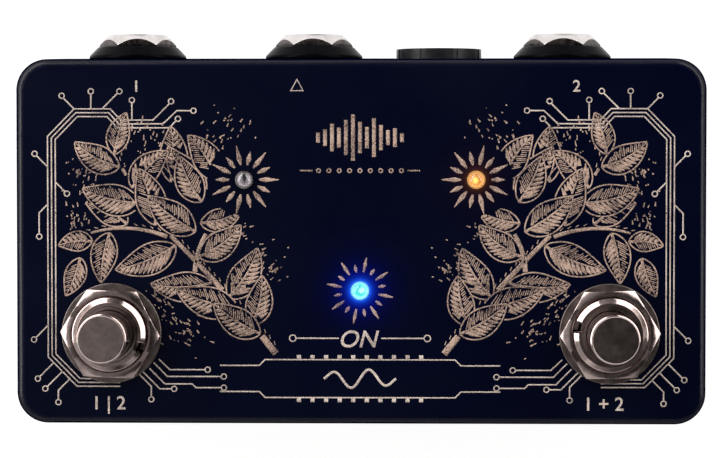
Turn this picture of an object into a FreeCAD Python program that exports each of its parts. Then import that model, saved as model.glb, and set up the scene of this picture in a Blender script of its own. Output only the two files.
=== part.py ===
import FreeCAD, Part
import math
import os

from FreeCAD import Vector

# A line-switching pedal: a cast box with two foot switches and three lamps on its top face, and three
# line sockets and a power socket through its rear wall. Millimetres; X runs to the right, Y to the rear
# wall and Z up from the floor. The pieces are drawn about the middle of the box, and export moves them
# so that the middle of the whole pedal's footprint, sockets included, comes to X = Y = 0.

# Box: the rim is where the cast body meets the base plate
RIM_LENGTH = 112.4
RIM_DEPTH = 60.5
BODY_HEIGHT = 28.8
WALL_LEAN = 1.1
CORNER_RADIUS = 5.0
TOP_EDGE_RADIUS = 1.4
WALL = 2.2
TOP_WALL = 2.2
BOSS_RADIUS = 3.8

# Base plate, its screws and feet
PLATE_THICKNESS = 2.2
PLATE_EDGE_RADIUS = 0.5
TONGUE_HEIGHT = 1.5
TONGUE_WIDTH = 1.6
TONGUE_CLEARANCE = 0.25
SCREW_INSET = 4.6
SCREW_RADIUS = 1.5
SCREW_LENGTH = 11.0
SCREW_HEAD_RADIUS = 2.8
SCREW_HEAD_HEIGHT = 1.5
SCREW_RECESS_SPAN = 2.6
SCREW_RECESS_WIDTH = 0.6
SCREW_RECESS_DEPTH = 0.8
SCREW_HOLE_SPARE = 1.0
FOOT_RADIUS = 5.0
FOOT_HEIGHT = 2.0
FOOT_EDGE_RADIUS = 0.7
FOOT_INSET_X = 14.2
FOOT_INSET_Y = 10.25

# Foot switches: X inset from the rim's ends, Y inset from the rim's front
SWITCH_INSET_X = 16.5
SWITCH_INSET_Y = 15.65
BUTTON_RADIUS = 4.05
SHAFT_RADIUS = 3.85
BUTTON_RISE = 10.0
BUTTON_BEVEL = 0.3
BUTTON_ROUNDING = 0.6
BUTTON_TRAVEL = 3.0
COLLAR_RADIUS = 4.7
COLLAR_HEIGHT = 1.1
STEM_RADIUS = 1.5
BUSH_RADIUS = 6.0
BUSH_RISE = 4.4
BUSH_BORE_RADIUS = 5.0
BUSH_NECK = 3.0
BUSH_CHAMFER = 0.75
BUSH_GROOVE_WIDTH = 0.15
BUSH_GROOVE_DEPTH = 0.3
THREAD_PITCH = 0.75
THREAD_DEPTH = 0.35
KEYWAY_WIDTH = 1.25
KEYWAY_DEPTH = 0.9
FRAME_THICKNESS = 1.2
FRAME_STRAP_WIDTH = 6.0
FRAME_STRAP_THICKNESS = 0.6
FRAME_STRAP_LENGTH = 8.0
FRAME_GAP = 1.2
SWITCH_NUT_FLATS = 13.8
SWITCH_NUT_HEIGHT = 2.4
SWITCH_NUT_SLOPE = 30.0
SWITCH_WASHER_RADIUS = 8.0
SWITCH_WASHER_THICKNESS = 0.9
LOCK_WASHER_RADIUS = 7.4
LOCK_WASHER_THICKNESS = 0.5
LOCK_WASHER_TEETH = 12
LOCK_WASHER_NOTCH = 0.9
INNER_NUT_HEIGHT = 2.0
SWITCH_BODY_WIDTH = 15.0
SWITCH_BODY_HEIGHT = 12.0
SWITCH_BODY_WALL = 1.2
SWITCH_BODY_PLATE = 1.5
SPRING_WIRE_RADIUS = 0.4
SPRING_TURNS = 4
BRIDGE_RADIUS = 4.0
BRIDGE_THICKNESS = 0.4
LUG_OFFSET = 2.4
LUG_WIDTH = 2.0
LUG_THICKNESS = 0.8
LUG_LENGTH = 4.4
LUG_TIP_RADIUS = 0.9
LUG_TIP_HEIGHT = 0.5
NUT_TURNS = {"left": -2.5, "right": 1.6}
KEYWAY_TURNS = {"left": -22.0, "right": 166.0}

# Line sockets: one axis height for all sockets, measured down from the top face
SOCKET_DROP = 15.5
LEFT_JACK_INSET = 19.0
MIDDLE_JACK_X = -8.0
RIGHT_JACK_INSET = 23.3
JACK_NUT_TURNS = {"left": 5.0, "middle": 0.0, "right": 0.0}
JACK_BODY_WIDTH = 14.4
JACK_BODY_LENGTH = 25.0
JACK_BODY_HEIGHT = 13.0
JACK_BODY_WALL = 1.3
JACK_FRONT_WALL = 3.0
JACK_BODY_GAP = 0.3
NOSE_RADIUS = 4.5
JACK_BORE_RADIUS = 3.25
NOSE_COLLAR_RADIUS = 5.0
NOSE_COLLAR_LENGTH = 1.5
JACK_THREAD_PITCH = 0.75
FLANGE_RADIUS = 8.0
FLANGE_FACE_RADIUS = 6.55
FLANGE_RIM = 0.35
FLANGE_HEIGHT = 1.85
JACK_NUT_FLATS = 11.0
JACK_NUT_HEIGHT = 2.0
JACK_NUT_FACE_RADIUS = 4.85
JACK_NUT_SLOPE = 48.0
JACK_TAIL_WIDTH = 1.4
TIP_STRIP_WIDTH = 3.0
TIP_STRIP_THICKNESS = 0.4
TIP_STRIP_DIP = 0.9
TIP_BEND_INSET = 3.4
TIP_TAIL_INSET = 6.0

# Power socket: a barrel socket with a centre pin, left of the right line socket
POWER_JACK_SPACING = 20.3
POWER_NOSE_RADIUS = 5.5
POWER_BORE_RADIUS = 2.9
POWER_BORE_DEPTH = 10.0
POWER_PIN_RADIUS = 1.05
POWER_PIN_RECESS = 0.8
POWER_PIN_ROOT_RADIUS = 0.8
POWER_PIN_TAIL_RADIUS = 0.5
POWER_NUT_RADIUS = 7.0
POWER_NUT_HEIGHT = 1.45
POWER_NUT_NOTCHES = 8
POWER_NUT_NOTCH_WIDTH = 0.8
POWER_NUT_NOTCH_DEPTH = 0.15
POWER_BODY_LENGTH = 13.0
POWER_STRIP_WIDTH = 1.8
POWER_STRIP_THICKNESS = 0.3
POWER_STRIP_LENGTH = 7.0

# Lamps
SIDE_LAMP_X = 18.5
SIDE_LAMP_Y = 9.9
CENTRE_LAMP_Y = -7.8
LAMP_RADIUS = 1.5
LAMP_FLANGE_RADIUS = 1.9
LAMP_FLANGE_HEIGHT = 1.0
LAMP_RISE = 1.8
LEAD_SPACING = 2.54
LEAD_WIDTH = 0.5
TAIL = 0.8

# Circuit boards and what is on them
BOARD_THICKNESS = 1.6
BOARD_GAP = 1.2
BOARD_SWITCH_GAP = 1.6
TONGUE_GAP = 4.5
BOARD_FRONT_GAP = 3.3
BOARD_SPACING = 11.0
SWITCH_BOARD_DEPTH = 14.6
SWITCH_BOARD_FRONT = 7.6
HEADER_PINS = 8
HEADER_PITCH = 2.54
HEADER_PIN_WIDTH = 0.64
HEADER_HEIGHT = 2.5
HEADER_INSET = 2.0
RELAY_X = 15.0
RELAY_SHIFT = 1.0
RELAY_LENGTH = 14.0
RELAY_DEPTH = 9.0
RELAY_HEIGHT = 5.0
RELAY_PIN_ROW = 3.8
RELAY_PIN_PITCH = 3.2
RELAY_PIN_STANDOFF = 0.3
CHIP_X = -25.0
CHIP_INSET = 8.0
CHIP_LENGTH = 8.7
CHIP_DEPTH = 3.9
CHIP_HEIGHT = 1.5
CHIP_STANDOFF = 0.2
CHIP_LEGS = 7
CHIP_LEG_PITCH = 1.27
CHIP_LEG_WIDTH = 0.4
CHIP_LEG_REACH = 1.0
CHIP_LEG_THICKNESS = 0.2
REGULATOR_X = 3.3
REGULATOR_INSET = 12.0
REGULATOR_LENGTH = 6.5
REGULATOR_DEPTH = 3.5
REGULATOR_HEIGHT = 1.6
REGULATOR_TAB = 3.0
REGULATOR_LEG_PITCH = 2.3
REGULATOR_LEG_WIDTH = 0.7
REGULATOR_LEG_REACH = 1.7
REGULATOR_LEG_THICKNESS = 0.3
TALL_CAN_INSET = 7.0
TALL_CAN_RADIUS = 4.0
TALL_CAN_HEIGHT = 11.0
SMALL_CAN_INSET = 6.0
SMALL_CAN_LAMP_GAP = 3.87
SMALL_CAN_RADIUS = 3.15
SMALL_CAN_HEIGHT = 7.0
CAN_GROOVE = 0.3
RESISTOR_LENGTH = 3.2
RESISTOR_DEPTH = 1.6
RESISTOR_HEIGHT = 0.6
RESISTOR_PITCH = 4.4
RESISTOR_COUNT = 6
RESISTOR_INSET = 25.0
DIODE_X = 4.0
DIODE_INSET = 5.5
DIODE_LENGTH = 4.3
DIODE_DEPTH = 2.6
DIODE_HEIGHT = 2.2
DIODE_PITCH = 5.0
DIODE_COUNT = 3

# Fits between neighbouring pieces, as gaps on the radius or on each side
RUNNING_FIT = 0.08
THREAD_FIT = 0.05
HOLE_CLEARANCE = 0.2
LAMP_CLEARANCE = 0.05
MOVING_CLEARANCE = 0.3
STOP_GAP = 0.1
SLOT_CLEARANCE = 0.1

# How near two heights have to be to count as one level
ON_LEVEL = 1e-6

# Levels above the floor
PLATE_BOTTOM = FOOT_HEIGHT
RIM_Z = PLATE_BOTTOM + PLATE_THICKNESS
TOP_Z = RIM_Z + BODY_HEIGHT
CEILING_Z = TOP_Z - TOP_WALL
SOCKET_Z = TOP_Z - SOCKET_DROP
BOARD_BOTTOM = SOCKET_Z + JACK_BODY_HEIGHT / 2
BOARD_TOP = BOARD_BOTTOM + BOARD_THICKNESS
SWITCH_BOARD_TOP = BOARD_BOTTOM - BOARD_SPACING
SWITCH_BOARD_BOTTOM = SWITCH_BOARD_TOP - BOARD_THICKNESS
FRAME_TOP = CEILING_Z - LOCK_WASHER_THICKNESS - INNER_NUT_HEIGHT - FRAME_GAP
SWITCH_BODY_TOP = FRAME_TOP - FRAME_THICKNESS
SWITCH_BODY_BOTTOM = SWITCH_BODY_TOP - SWITCH_BODY_HEIGHT
BUSH_TOP = TOP_Z + BUSH_RISE
NECK_BOTTOM = BUSH_TOP - BUSH_NECK
COLLAR_TOP = NECK_BOTTOM - STOP_GAP
COLLAR_BOTTOM = COLLAR_TOP - COLLAR_HEIGHT
BRIDGE_TOP = SWITCH_BODY_TOP - SWITCH_BODY_PLATE - MOVING_CLEARANCE
BRIDGE_BOTTOM = BRIDGE_TOP - BRIDGE_THICKNESS
CONTACT_TOP = BRIDGE_BOTTOM - BUTTON_TRAVEL - STOP_GAP

# Places in plan
SWITCH_X = RIM_LENGTH / 2 - SWITCH_INSET_X
SWITCH_Y = SWITCH_INSET_Y - RIM_DEPTH / 2
SWITCHES = {"left": -SWITCH_X, "right": SWITCH_X}
JACKS = {
    "left": LEFT_JACK_INSET - RIM_LENGTH / 2,
    "middle": MIDDLE_JACK_X,
    "right": RIM_LENGTH / 2 - RIGHT_JACK_INSET,
}
POWER_JACK_X = JACKS["right"] - POWER_JACK_SPACING
TALL_CAN_X = (JACKS["left"] + JACKS["middle"]) / 2
SMALL_CAN_X = (POWER_JACK_X + POWER_NOSE_RADIUS + JACKS["right"] - JACK_BODY_WIDTH / 2) / 2
LAMPS = {
    "left": (-SIDE_LAMP_X, SIDE_LAMP_Y),
    "centre": (0.0, CENTRE_LAMP_Y),
    "right": (SIDE_LAMP_X, SIDE_LAMP_Y),
}
SCREW_X = RIM_LENGTH / 2 - SCREW_INSET
SCREW_Y = RIM_DEPTH / 2 - SCREW_INSET
CORNER_SIGNS = [(-1, -1), (1, -1), (1, 1), (-1, 1)]


def rear_wall(z):
    """Y of the rear wall's outer face at a height: the wall leans in as it rises."""
    return RIM_DEPTH / 2 - WALL_LEAN * (z - RIM_Z) / BODY_HEIGHT


FLANGE_FACE_Y = rear_wall(SOCKET_Z) + FLANGE_HEIGHT
NOSE_END = FLANGE_FACE_Y + JACK_NUT_HEIGHT
JACK_FRONT = rear_wall(BOARD_BOTTOM) - WALL - JACK_BODY_GAP
JACK_BACK = JACK_FRONT - JACK_BODY_LENGTH
JACK_CHAMBER_FRONT = JACK_FRONT - JACK_FRONT_WALL
NOSE_BACK = JACK_CHAMBER_FRONT - NOSE_COLLAR_LENGTH
POWER_NOSE_END = rear_wall(SOCKET_Z) + POWER_NUT_HEIGHT
POWER_BACK = JACK_FRONT - POWER_BODY_LENGTH
POWER_BORE_FLOOR = POWER_NOSE_END - POWER_BORE_DEPTH
POWER_PIN_END = POWER_NOSE_END - POWER_PIN_RECESS
PEDAL_MIDDLE_Y = (NOSE_END - RIM_DEPTH / 2) / 2
HEADER_Y = SWITCH_Y - SWITCH_BOARD_FRONT + HEADER_INSET
BOARD_REAR = rear_wall(BOARD_TOP) - WALL - BOARD_GAP
BOARD_FRONT = WALL + BOARD_FRONT_GAP - rear_wall(BOARD_TOP)
BOARD_NOTCH = SWITCH_Y + SWITCH_BODY_WIDTH / 2 + BOARD_SWITCH_GAP


def slab(width, depth, low, high, x=0.0, y=0.0):
    """Upright block, centred on x and y, between two heights."""
    corner = Vector(x - width / 2, y - depth / 2, low)
    return Part.makeBox(width, depth, high - low, corner)


def turned(profile):
    """Solid turned about the Z axis from (radius, height) points."""
    points = [Vector(radius, 0, height) for radius, height in profile]
    face = Part.Face(Part.makePolygon(points + points[:1]))
    return face.revolve(Vector(0, 0, 0), Vector(0, 0, 1), 360)


def ring(inner, outer, low, high):
    return turned([(inner, low), (outer, low), (outer, high), (inner, high)])


def disc(radius, low, high):
    return Part.makeCylinder(radius, high - low, Vector(0, 0, low))


def laid_back(shape):
    """Turn a shape drawn about Z so that its axis runs along Y."""
    shape = shape.copy()
    shape.rotate(Vector(0, 0, 0), Vector(1, 0, 0), -90)
    return shape


def moved(shape, x=0.0, y=0.0, z=0.0):
    shape = shape.copy()
    shape.translate(Vector(x, y, z))
    return shape


def spun(shape, degrees):
    shape = shape.copy()
    shape.rotate(Vector(0, 0, 0), Vector(0, 0, 1), degrees)
    return shape


def hexagon(flats, low, high):
    """Hexagonal prism with two corners on the X axis."""
    radius = flats / 2 / math.cos(math.pi / 6)
    angles = [math.pi / 3 * corner for corner in range(7)]
    points = [Vector(radius * math.cos(a), radius * math.sin(a), low) for a in angles]
    return Part.Face(Part.makePolygon(points)).extrude(Vector(0, 0, high - low))


def strip(path, thickness, width):
    """Bent strip of sheet metal: path points are (y, z) on one face, width runs across X."""
    outline = [Vector(-width / 2, y, z) for y, z in path]
    outline += [Vector(-width / 2, y, z + thickness) for y, z in reversed(path)]
    face = Part.Face(Part.makePolygon(outline + outline[:1]))
    return face.extrude(Vector(width, 0, 0))


def upright_edges(shape):
    """Edges that run from one height to another."""
    return [edge for edge in shape.Edges if edge.BoundBox.ZLength > edge.BoundBox.DiagonalLength / 2]


def edges_at(shape, z):
    """Edges that lie flat at a height."""
    flat = [edge for edge in shape.Edges if edge.BoundBox.ZLength < ON_LEVEL]
    return [edge for edge in flat if abs(edge.BoundBox.ZMin - z) < ON_LEVEL]


def tapered_block(inset, low, high, corner):
    """The box's leaning outline, moved in by inset, between two heights, with rounded upright corners."""
    wires = []
    for z in (low, high):
        lean = WALL_LEAN * (z - RIM_Z) / BODY_HEIGHT
        half_x = RIM_LENGTH / 2 - lean - inset
        half_y = RIM_DEPTH / 2 - lean - inset
        points = [Vector(sx * half_x, sy * half_y, z) for sx, sy in CORNER_SIGNS]
        wires.append(Part.makePolygon(points + points[:1]))
    block = Part.makeLoft(wires, True, True)
    return block.makeFillet(corner, upright_edges(block))


def four_corners(shape, x, y):
    return [moved(shape, sx * x, sy * y) for sx, sy in CORNER_SIGNS]


def wall_hole(radius, x):
    """Cutter for a hole through the rear wall at the sockets' height."""
    depth = 4 * WALL
    cutter = laid_back(disc(radius, rear_wall(SOCKET_Z) - depth, rear_wall(SOCKET_Z) + depth))
    return moved(cutter, x, 0, SOCKET_Z)


def enclosure():
    """Cast body: leaning walls, rounded top edge, and a screw boss in each corner of the cavity."""
    outer = tapered_block(0, RIM_Z, TOP_Z, CORNER_RADIUS)
    outer = outer.makeFillet(TOP_EDGE_RADIUS, edges_at(outer, TOP_Z))
    cavity = tapered_block(WALL, RIM_Z, CEILING_Z, CORNER_RADIUS - WALL)
    for boss in four_corners(disc(BOSS_RADIUS, RIM_Z, CEILING_Z), SCREW_X, SCREW_Y):
        cavity = cavity.cut(boss)
    hole_top = PLATE_BOTTOM + SCREW_LENGTH + SCREW_HOLE_SPARE
    holes = four_corners(disc(SCREW_RADIUS + THREAD_FIT, RIM_Z, hole_top), SCREW_X, SCREW_Y)
    for x in SWITCHES.values():
        holes.append(moved(disc(BUSH_RADIUS + HOLE_CLEARANCE, CEILING_Z, TOP_Z), x, SWITCH_Y))
    for x, y in LAMPS.values():
        holes.append(moved(disc(LAMP_RADIUS + LAMP_CLEARANCE, CEILING_Z, TOP_Z), x, y))
    for x in JACKS.values():
        holes.append(wall_hole(NOSE_RADIUS + HOLE_CLEARANCE, x))
    holes.append(wall_hole(POWER_NOSE_RADIUS + HOLE_CLEARANCE, POWER_JACK_X))
    body = outer.cut(cavity)
    for hole in holes:
        body = body.cut(hole)
    return body


def screw_profile(clearance):
    """Countersunk screw with its head flush with the plate's underside, grown by a clearance."""
    head_top = PLATE_BOTTOM + SCREW_HEAD_HEIGHT
    end = PLATE_BOTTOM + SCREW_LENGTH
    head = SCREW_HEAD_RADIUS + clearance
    shank = SCREW_RADIUS + clearance
    return [(0, PLATE_BOTTOM), (head, PLATE_BOTTOM), (shank, head_top), (shank, end), (0, end)]


def base_plate():
    """Flat plate with a low tongue that drops into the cavity, and a countersink at each corner."""
    plate = slab(RIM_LENGTH, RIM_DEPTH, PLATE_BOTTOM, RIM_Z)
    plate = plate.makeFillet(CORNER_RADIUS, upright_edges(plate))
    plate = plate.makeFillet(PLATE_EDGE_RADIUS, edges_at(plate, PLATE_BOTTOM))
    tongue_top = RIM_Z + TONGUE_HEIGHT
    inset = WALL + TONGUE_CLEARANCE
    tongue = tapered_block(inset, RIM_Z, tongue_top, CORNER_RADIUS - WALL)
    tongue = tongue.cut(tapered_block(inset + TONGUE_WIDTH, RIM_Z, tongue_top, CORNER_RADIUS - WALL))
    for relief in four_corners(disc(BOSS_RADIUS + TONGUE_CLEARANCE, RIM_Z, tongue_top), SCREW_X, SCREW_Y):
        tongue = tongue.cut(relief)
    plate = plate.fuse(tongue)
    for cutter in four_corners(turned(screw_profile(THREAD_FIT)), SCREW_X, SCREW_Y):
        plate = plate.cut(cutter)
    return plate.removeSplitter()


def base_plate_screws():
    """Four countersunk screws with crossed slots, from below through the plate into the bosses."""
    screw = turned(screw_profile(0))
    floor = PLATE_BOTTOM + SCREW_RECESS_DEPTH
    for span, width in [(SCREW_RECESS_SPAN, SCREW_RECESS_WIDTH), (SCREW_RECESS_WIDTH, SCREW_RECESS_SPAN)]:
        screw = screw.cut(slab(span, width, PLATE_BOTTOM, floor))
    return four_corners(screw, SCREW_X, SCREW_Y)


def rubber_feet():
    """Round stick-on feet with a softened lower edge."""
    foot = disc(FOOT_RADIUS, 0, FOOT_HEIGHT)
    foot = foot.makeFillet(FOOT_EDGE_RADIUS, edges_at(foot, 0))
    return four_corners(foot, RIM_LENGTH / 2 - FOOT_INSET_X, RIM_DEPTH / 2 - FOOT_INSET_Y)


def button():
    """Foot button: a head with a bevelled top on a shaft through the neck, a stop collar and a stem."""
    top = BUSH_TOP + BUTTON_RISE
    head_low = BUSH_TOP + BUTTON_TRAVEL + MOVING_CLEARANCE
    shoulder = BUTTON_RADIUS - BUTTON_BEVEL / 3
    bevel_edge = BUTTON_RADIUS - BUTTON_BEVEL
    face_edge = BUTTON_RADIUS - 2 * BUTTON_BEVEL
    return turned([
        (0, BRIDGE_TOP),
        (STEM_RADIUS, BRIDGE_TOP),
        (STEM_RADIUS, COLLAR_BOTTOM),
        (COLLAR_RADIUS, COLLAR_BOTTOM),
        (COLLAR_RADIUS, COLLAR_TOP),
        (SHAFT_RADIUS, COLLAR_TOP),
        (SHAFT_RADIUS, head_low),
        (BUTTON_RADIUS, head_low),
        (BUTTON_RADIUS, top - BUTTON_ROUNDING - BUTTON_BEVEL),
        (shoulder, top - BUTTON_ROUNDING),
        (bevel_edge, top - BUTTON_BEVEL / 2),
        (face_edge, top),
        (0, top),
    ])


def threads(radius, depth, low, high, pitch):
    """Outline of ring-shaped thread grooves, from the top down, as (radius, height) points."""
    count = int((high - low) / pitch)
    points = []
    for turn in range(count):
        crest = high - turn * pitch
        points.append((radius, crest))
        points.append((radius - depth, crest - pitch / 2))
    points.append((radius, high - count * pitch))
    return points


def bush(keyway_turn):
    """Threaded bush on a square frame plate, with a keyway along its thread and straps down the body."""
    neck = SHAFT_RADIUS + RUNNING_FIT
    groove_outer = BUSH_RADIUS - BUSH_CHAMFER
    groove_inner = groove_outer - BUSH_GROOVE_WIDTH
    outline = [
        (BUSH_BORE_RADIUS, SWITCH_BODY_TOP),
        (BUSH_BORE_RADIUS, NECK_BOTTOM),
        (neck, NECK_BOTTOM),
        (neck, BUSH_TOP),
        (groove_inner, BUSH_TOP),
        (groove_inner, BUSH_TOP - BUSH_GROOVE_DEPTH),
        (groove_outer, BUSH_TOP - BUSH_GROOVE_DEPTH),
        (groove_outer, BUSH_TOP),
    ]
    outline += threads(BUSH_RADIUS, THREAD_DEPTH, FRAME_TOP, BUSH_TOP - BUSH_CHAMFER, THREAD_PITCH)
    outline += [(BUSH_RADIUS, SWITCH_BODY_TOP)]
    tube = turned(outline)
    keyway_low = CEILING_Z - LOCK_WASHER_THICKNESS
    keyway = slab(2 * KEYWAY_DEPTH, KEYWAY_WIDTH, keyway_low, BUSH_TOP, BUSH_RADIUS)
    tube = tube.cut(spun(keyway, keyway_turn))
    frame = slab(SWITCH_BODY_WIDTH, SWITCH_BODY_WIDTH, SWITCH_BODY_TOP, FRAME_TOP)
    frame = frame.cut(disc(BUSH_BORE_RADIUS, SWITCH_BODY_TOP, FRAME_TOP))
    strap_x = SWITCH_BODY_WIDTH / 2 + SLOT_CLEARANCE + FRAME_STRAP_THICKNESS / 2
    strap_low = FRAME_TOP - FRAME_STRAP_LENGTH
    for side in (-1, 1):
        strap = slab(FRAME_STRAP_THICKNESS, FRAME_STRAP_WIDTH, strap_low, FRAME_TOP, side * strap_x)
        ear_x = SWITCH_BODY_WIDTH / 2 + SLOT_CLEARANCE / 2
        ear = slab(SLOT_CLEARANCE, FRAME_STRAP_WIDTH, SWITCH_BODY_TOP, FRAME_TOP, side * ear_x)
        frame = frame.fuse(strap).fuse(ear)
    return tube.fuse(frame).removeSplitter()


def switch_nut(low, high, bevelled):
    """Hexagon nut for the bush, with bevelled corners on its upper side or on both sides."""
    corner = SWITCH_NUT_FLATS / 2 / math.cos(math.pi / 6)
    face = SWITCH_NUT_FLATS / 2 - HOLE_CLEARANCE
    drop = (corner - face) * math.tan(math.radians(SWITCH_NUT_SLOPE))
    lower_face = face if bevelled == "both" else corner
    lower_rise = drop if bevelled == "both" else 0
    limit = turned([
        (0, low),
        (lower_face, low),
        (corner, low + lower_rise),
        (corner, high - drop),
        (face, high),
        (0, high),
    ])
    nut = hexagon(SWITCH_NUT_FLATS, low, high).common(limit)
    return nut.cut(disc(BUSH_RADIUS + THREAD_FIT, low, high))


def lock_washer():
    """Thin washer with notches round its outer edge, between the inner nut and the box."""
    low = CEILING_Z - LOCK_WASHER_THICKNESS
    washer = ring(BUSH_RADIUS + HOLE_CLEARANCE, LOCK_WASHER_RADIUS, low, CEILING_Z)
    notch = slab(LOCK_WASHER_NOTCH, LOCK_WASHER_NOTCH, low, CEILING_Z, LOCK_WASHER_RADIUS)
    for tooth in range(LOCK_WASHER_TEETH):
        washer = washer.cut(spun(notch, tooth * 360 / LOCK_WASHER_TEETH))
    return washer


def return_spring():
    """Helical wire that lifts the button's collar from the switch body's top."""
    low = SWITCH_BODY_TOP + SPRING_WIRE_RADIUS
    high = COLLAR_BOTTOM - SPRING_WIRE_RADIUS
    radius = COLLAR_RADIUS - SPRING_WIRE_RADIUS
    helix = Part.makeHelix((high - low) / SPRING_TURNS, high - low, radius)
    helix.translate(Vector(0, 0, low))
    section = Part.makeCircle(SPRING_WIRE_RADIUS, Vector(radius, 0, low), Vector(0, 1, 0))
    return Part.Wire(helix.Edges).makePipeShell([Part.Wire(section)], True, True)


def lug_places():
    return [(sx * LUG_OFFSET, sy * LUG_OFFSET) for sx, sy in CORNER_SIGNS]


def switch_body():
    """Moulded body below the frame: a closed box with a hole for the stem and slots for the lugs."""
    body = slab(SWITCH_BODY_WIDTH, SWITCH_BODY_WIDTH, SWITCH_BODY_BOTTOM, SWITCH_BODY_TOP)
    inside = SWITCH_BODY_WIDTH - 2 * SWITCH_BODY_WALL
    floor = SWITCH_BODY_BOTTOM + SWITCH_BODY_PLATE
    body = body.cut(slab(inside, inside, floor, SWITCH_BODY_TOP - SWITCH_BODY_PLATE))
    body = body.cut(disc(STEM_RADIUS + MOVING_CLEARANCE, floor, SWITCH_BODY_TOP))
    for x, y in lug_places():
        width = LUG_WIDTH + 2 * SLOT_CLEARANCE
        depth = LUG_THICKNESS + 2 * SLOT_CLEARANCE
        body = body.cut(slab(width, depth, SWITCH_BODY_BOTTOM, floor, x, y))
    return body


def terminals():
    """Four fixed contacts: a flat lug through the body's floor, with a round tip below the bridge."""
    low = SWITCH_BODY_BOTTOM - LUG_LENGTH
    tip_low = CONTACT_TOP - LUG_TIP_HEIGHT
    shoulder = slab(LUG_WIDTH, LUG_WIDTH, SWITCH_BODY_BOTTOM + SWITCH_BODY_PLATE, tip_low)
    lug = slab(LUG_WIDTH, LUG_THICKNESS, low, tip_low).fuse(shoulder)
    lug = lug.fuse(disc(LUG_TIP_RADIUS, tip_low, CONTACT_TOP)).removeSplitter()
    return [moved(lug, x, y) for x, y in lug_places()]


def switch_pieces(side):
    """All pieces of one foot switch, in their places."""
    washer_top = TOP_Z + SWITCH_WASHER_THICKNESS
    inner_nut_top = CEILING_Z - LOCK_WASHER_THICKNESS
    outer_nut = switch_nut(washer_top, washer_top + SWITCH_NUT_HEIGHT, "upper side")
    inner_nut = switch_nut(inner_nut_top - INNER_NUT_HEIGHT, inner_nut_top, "both")
    washer = ring(BUSH_RADIUS + HOLE_CLEARANCE, SWITCH_WASHER_RADIUS, TOP_Z, washer_top)
    pieces = {
        "button": [button()],
        "bush": [bush(KEYWAY_TURNS[side])],
        "outer_nut": [spun(outer_nut, NUT_TURNS[side])],
        "outer_washer": [washer],
        "lock_washer": [lock_washer()],
        "inner_nut": [inner_nut],
        "return_spring": [return_spring()],
        "switch_body": [switch_body()],
        "contact_bridge": [disc(BRIDGE_RADIUS, BRIDGE_BOTTOM, BRIDGE_TOP)],
        "switch_terminals": terminals(),
    }
    place = (SWITCHES[side], SWITCH_Y)
    return {side + "_" + name: [moved(s, *place) for s in solids] for name, solids in pieces.items()}


def jack_body():
    """Moulded socket body: front wall for the nose, long chamber for the plug, opening at the back."""
    body = slab(JACK_BODY_WIDTH, JACK_BODY_LENGTH, -JACK_BODY_HEIGHT / 2, JACK_BODY_HEIGHT / 2)
    body = moved(body, 0, JACK_FRONT - JACK_BODY_LENGTH / 2)
    width = JACK_BODY_WIDTH - 2 * JACK_BODY_WALL
    height = JACK_BODY_HEIGHT - 2 * JACK_BODY_WALL
    length = JACK_BODY_LENGTH - JACK_FRONT_WALL - JACK_BODY_WALL
    middle = JACK_CHAMBER_FRONT - length / 2
    body = body.cut(slab(width, length, -height / 2, height / 2, 0, middle))
    body = body.cut(laid_back(disc(NOSE_RADIUS + THREAD_FIT, JACK_CHAMBER_FRONT, JACK_FRONT)))
    back_hole = disc(JACK_BORE_RADIUS + MOVING_CLEARANCE, JACK_BACK, JACK_BACK + JACK_BODY_WALL)
    body = body.cut(laid_back(back_hole))
    for y, width, depth in jack_tails():
        slot_width = width + 2 * SLOT_CLEARANCE
        slot_depth = depth + 2 * SLOT_CLEARANCE
        body = body.cut(slab(slot_width, slot_depth, height / 2, JACK_BODY_HEIGHT / 2, 0, y))
    return body


def jack_tails():
    """Y place, width and depth of the two solder tails of a line socket."""
    collar_y = NOSE_BACK + NOSE_COLLAR_LENGTH / 2
    tip_y = JACK_CHAMBER_FRONT - TIP_TAIL_INSET
    return [(collar_y, JACK_TAIL_WIDTH, NOSE_COLLAR_LENGTH), (tip_y, TIP_STRIP_WIDTH, TIP_STRIP_THICKNESS)]


def tail_top():
    """Height of a solder tail's end above the sockets' axis."""
    return BOARD_TOP + TAIL - SOCKET_Z


def jack_nose():
    """Threaded metal nose that guides the plug: a tube with a collar inside the body and a solder tail."""
    outline = [
        (JACK_BORE_RADIUS, NOSE_BACK),
        (JACK_BORE_RADIUS, NOSE_END),
    ]
    thread_low = JACK_FRONT
    outline += threads(NOSE_RADIUS, THREAD_DEPTH, thread_low, NOSE_END, JACK_THREAD_PITCH)
    outline += [
        (NOSE_RADIUS, JACK_CHAMBER_FRONT),
        (NOSE_COLLAR_RADIUS, JACK_CHAMBER_FRONT),
        (NOSE_COLLAR_RADIUS, NOSE_BACK),
    ]
    nose = laid_back(turned(outline))
    y, width, depth = jack_tails()[0]
    tail = slab(width, depth, (JACK_BORE_RADIUS + NOSE_COLLAR_RADIUS) / 2, tail_top(), 0, y)
    return nose.fuse(tail).removeSplitter()


def jack_flange(x):
    """Moulded conical washer: wide at the box, narrow under the nut, and cut to the leaning wall."""
    wall_y = rear_wall(SOCKET_Z)
    profile = [
        (NOSE_RADIUS + HOLE_CLEARANCE, wall_y - WALL),
        (FLANGE_RADIUS, wall_y - WALL),
        (FLANGE_RADIUS, wall_y + FLANGE_RIM),
        (FLANGE_FACE_RADIUS, FLANGE_FACE_Y),
        (NOSE_RADIUS + HOLE_CLEARANCE, FLANGE_FACE_Y),
    ]
    flange = moved(laid_back(turned(profile)), x, 0, SOCKET_Z)
    return flange.cut(tapered_block(0, RIM_Z, TOP_Z, CORNER_RADIUS))


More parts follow.
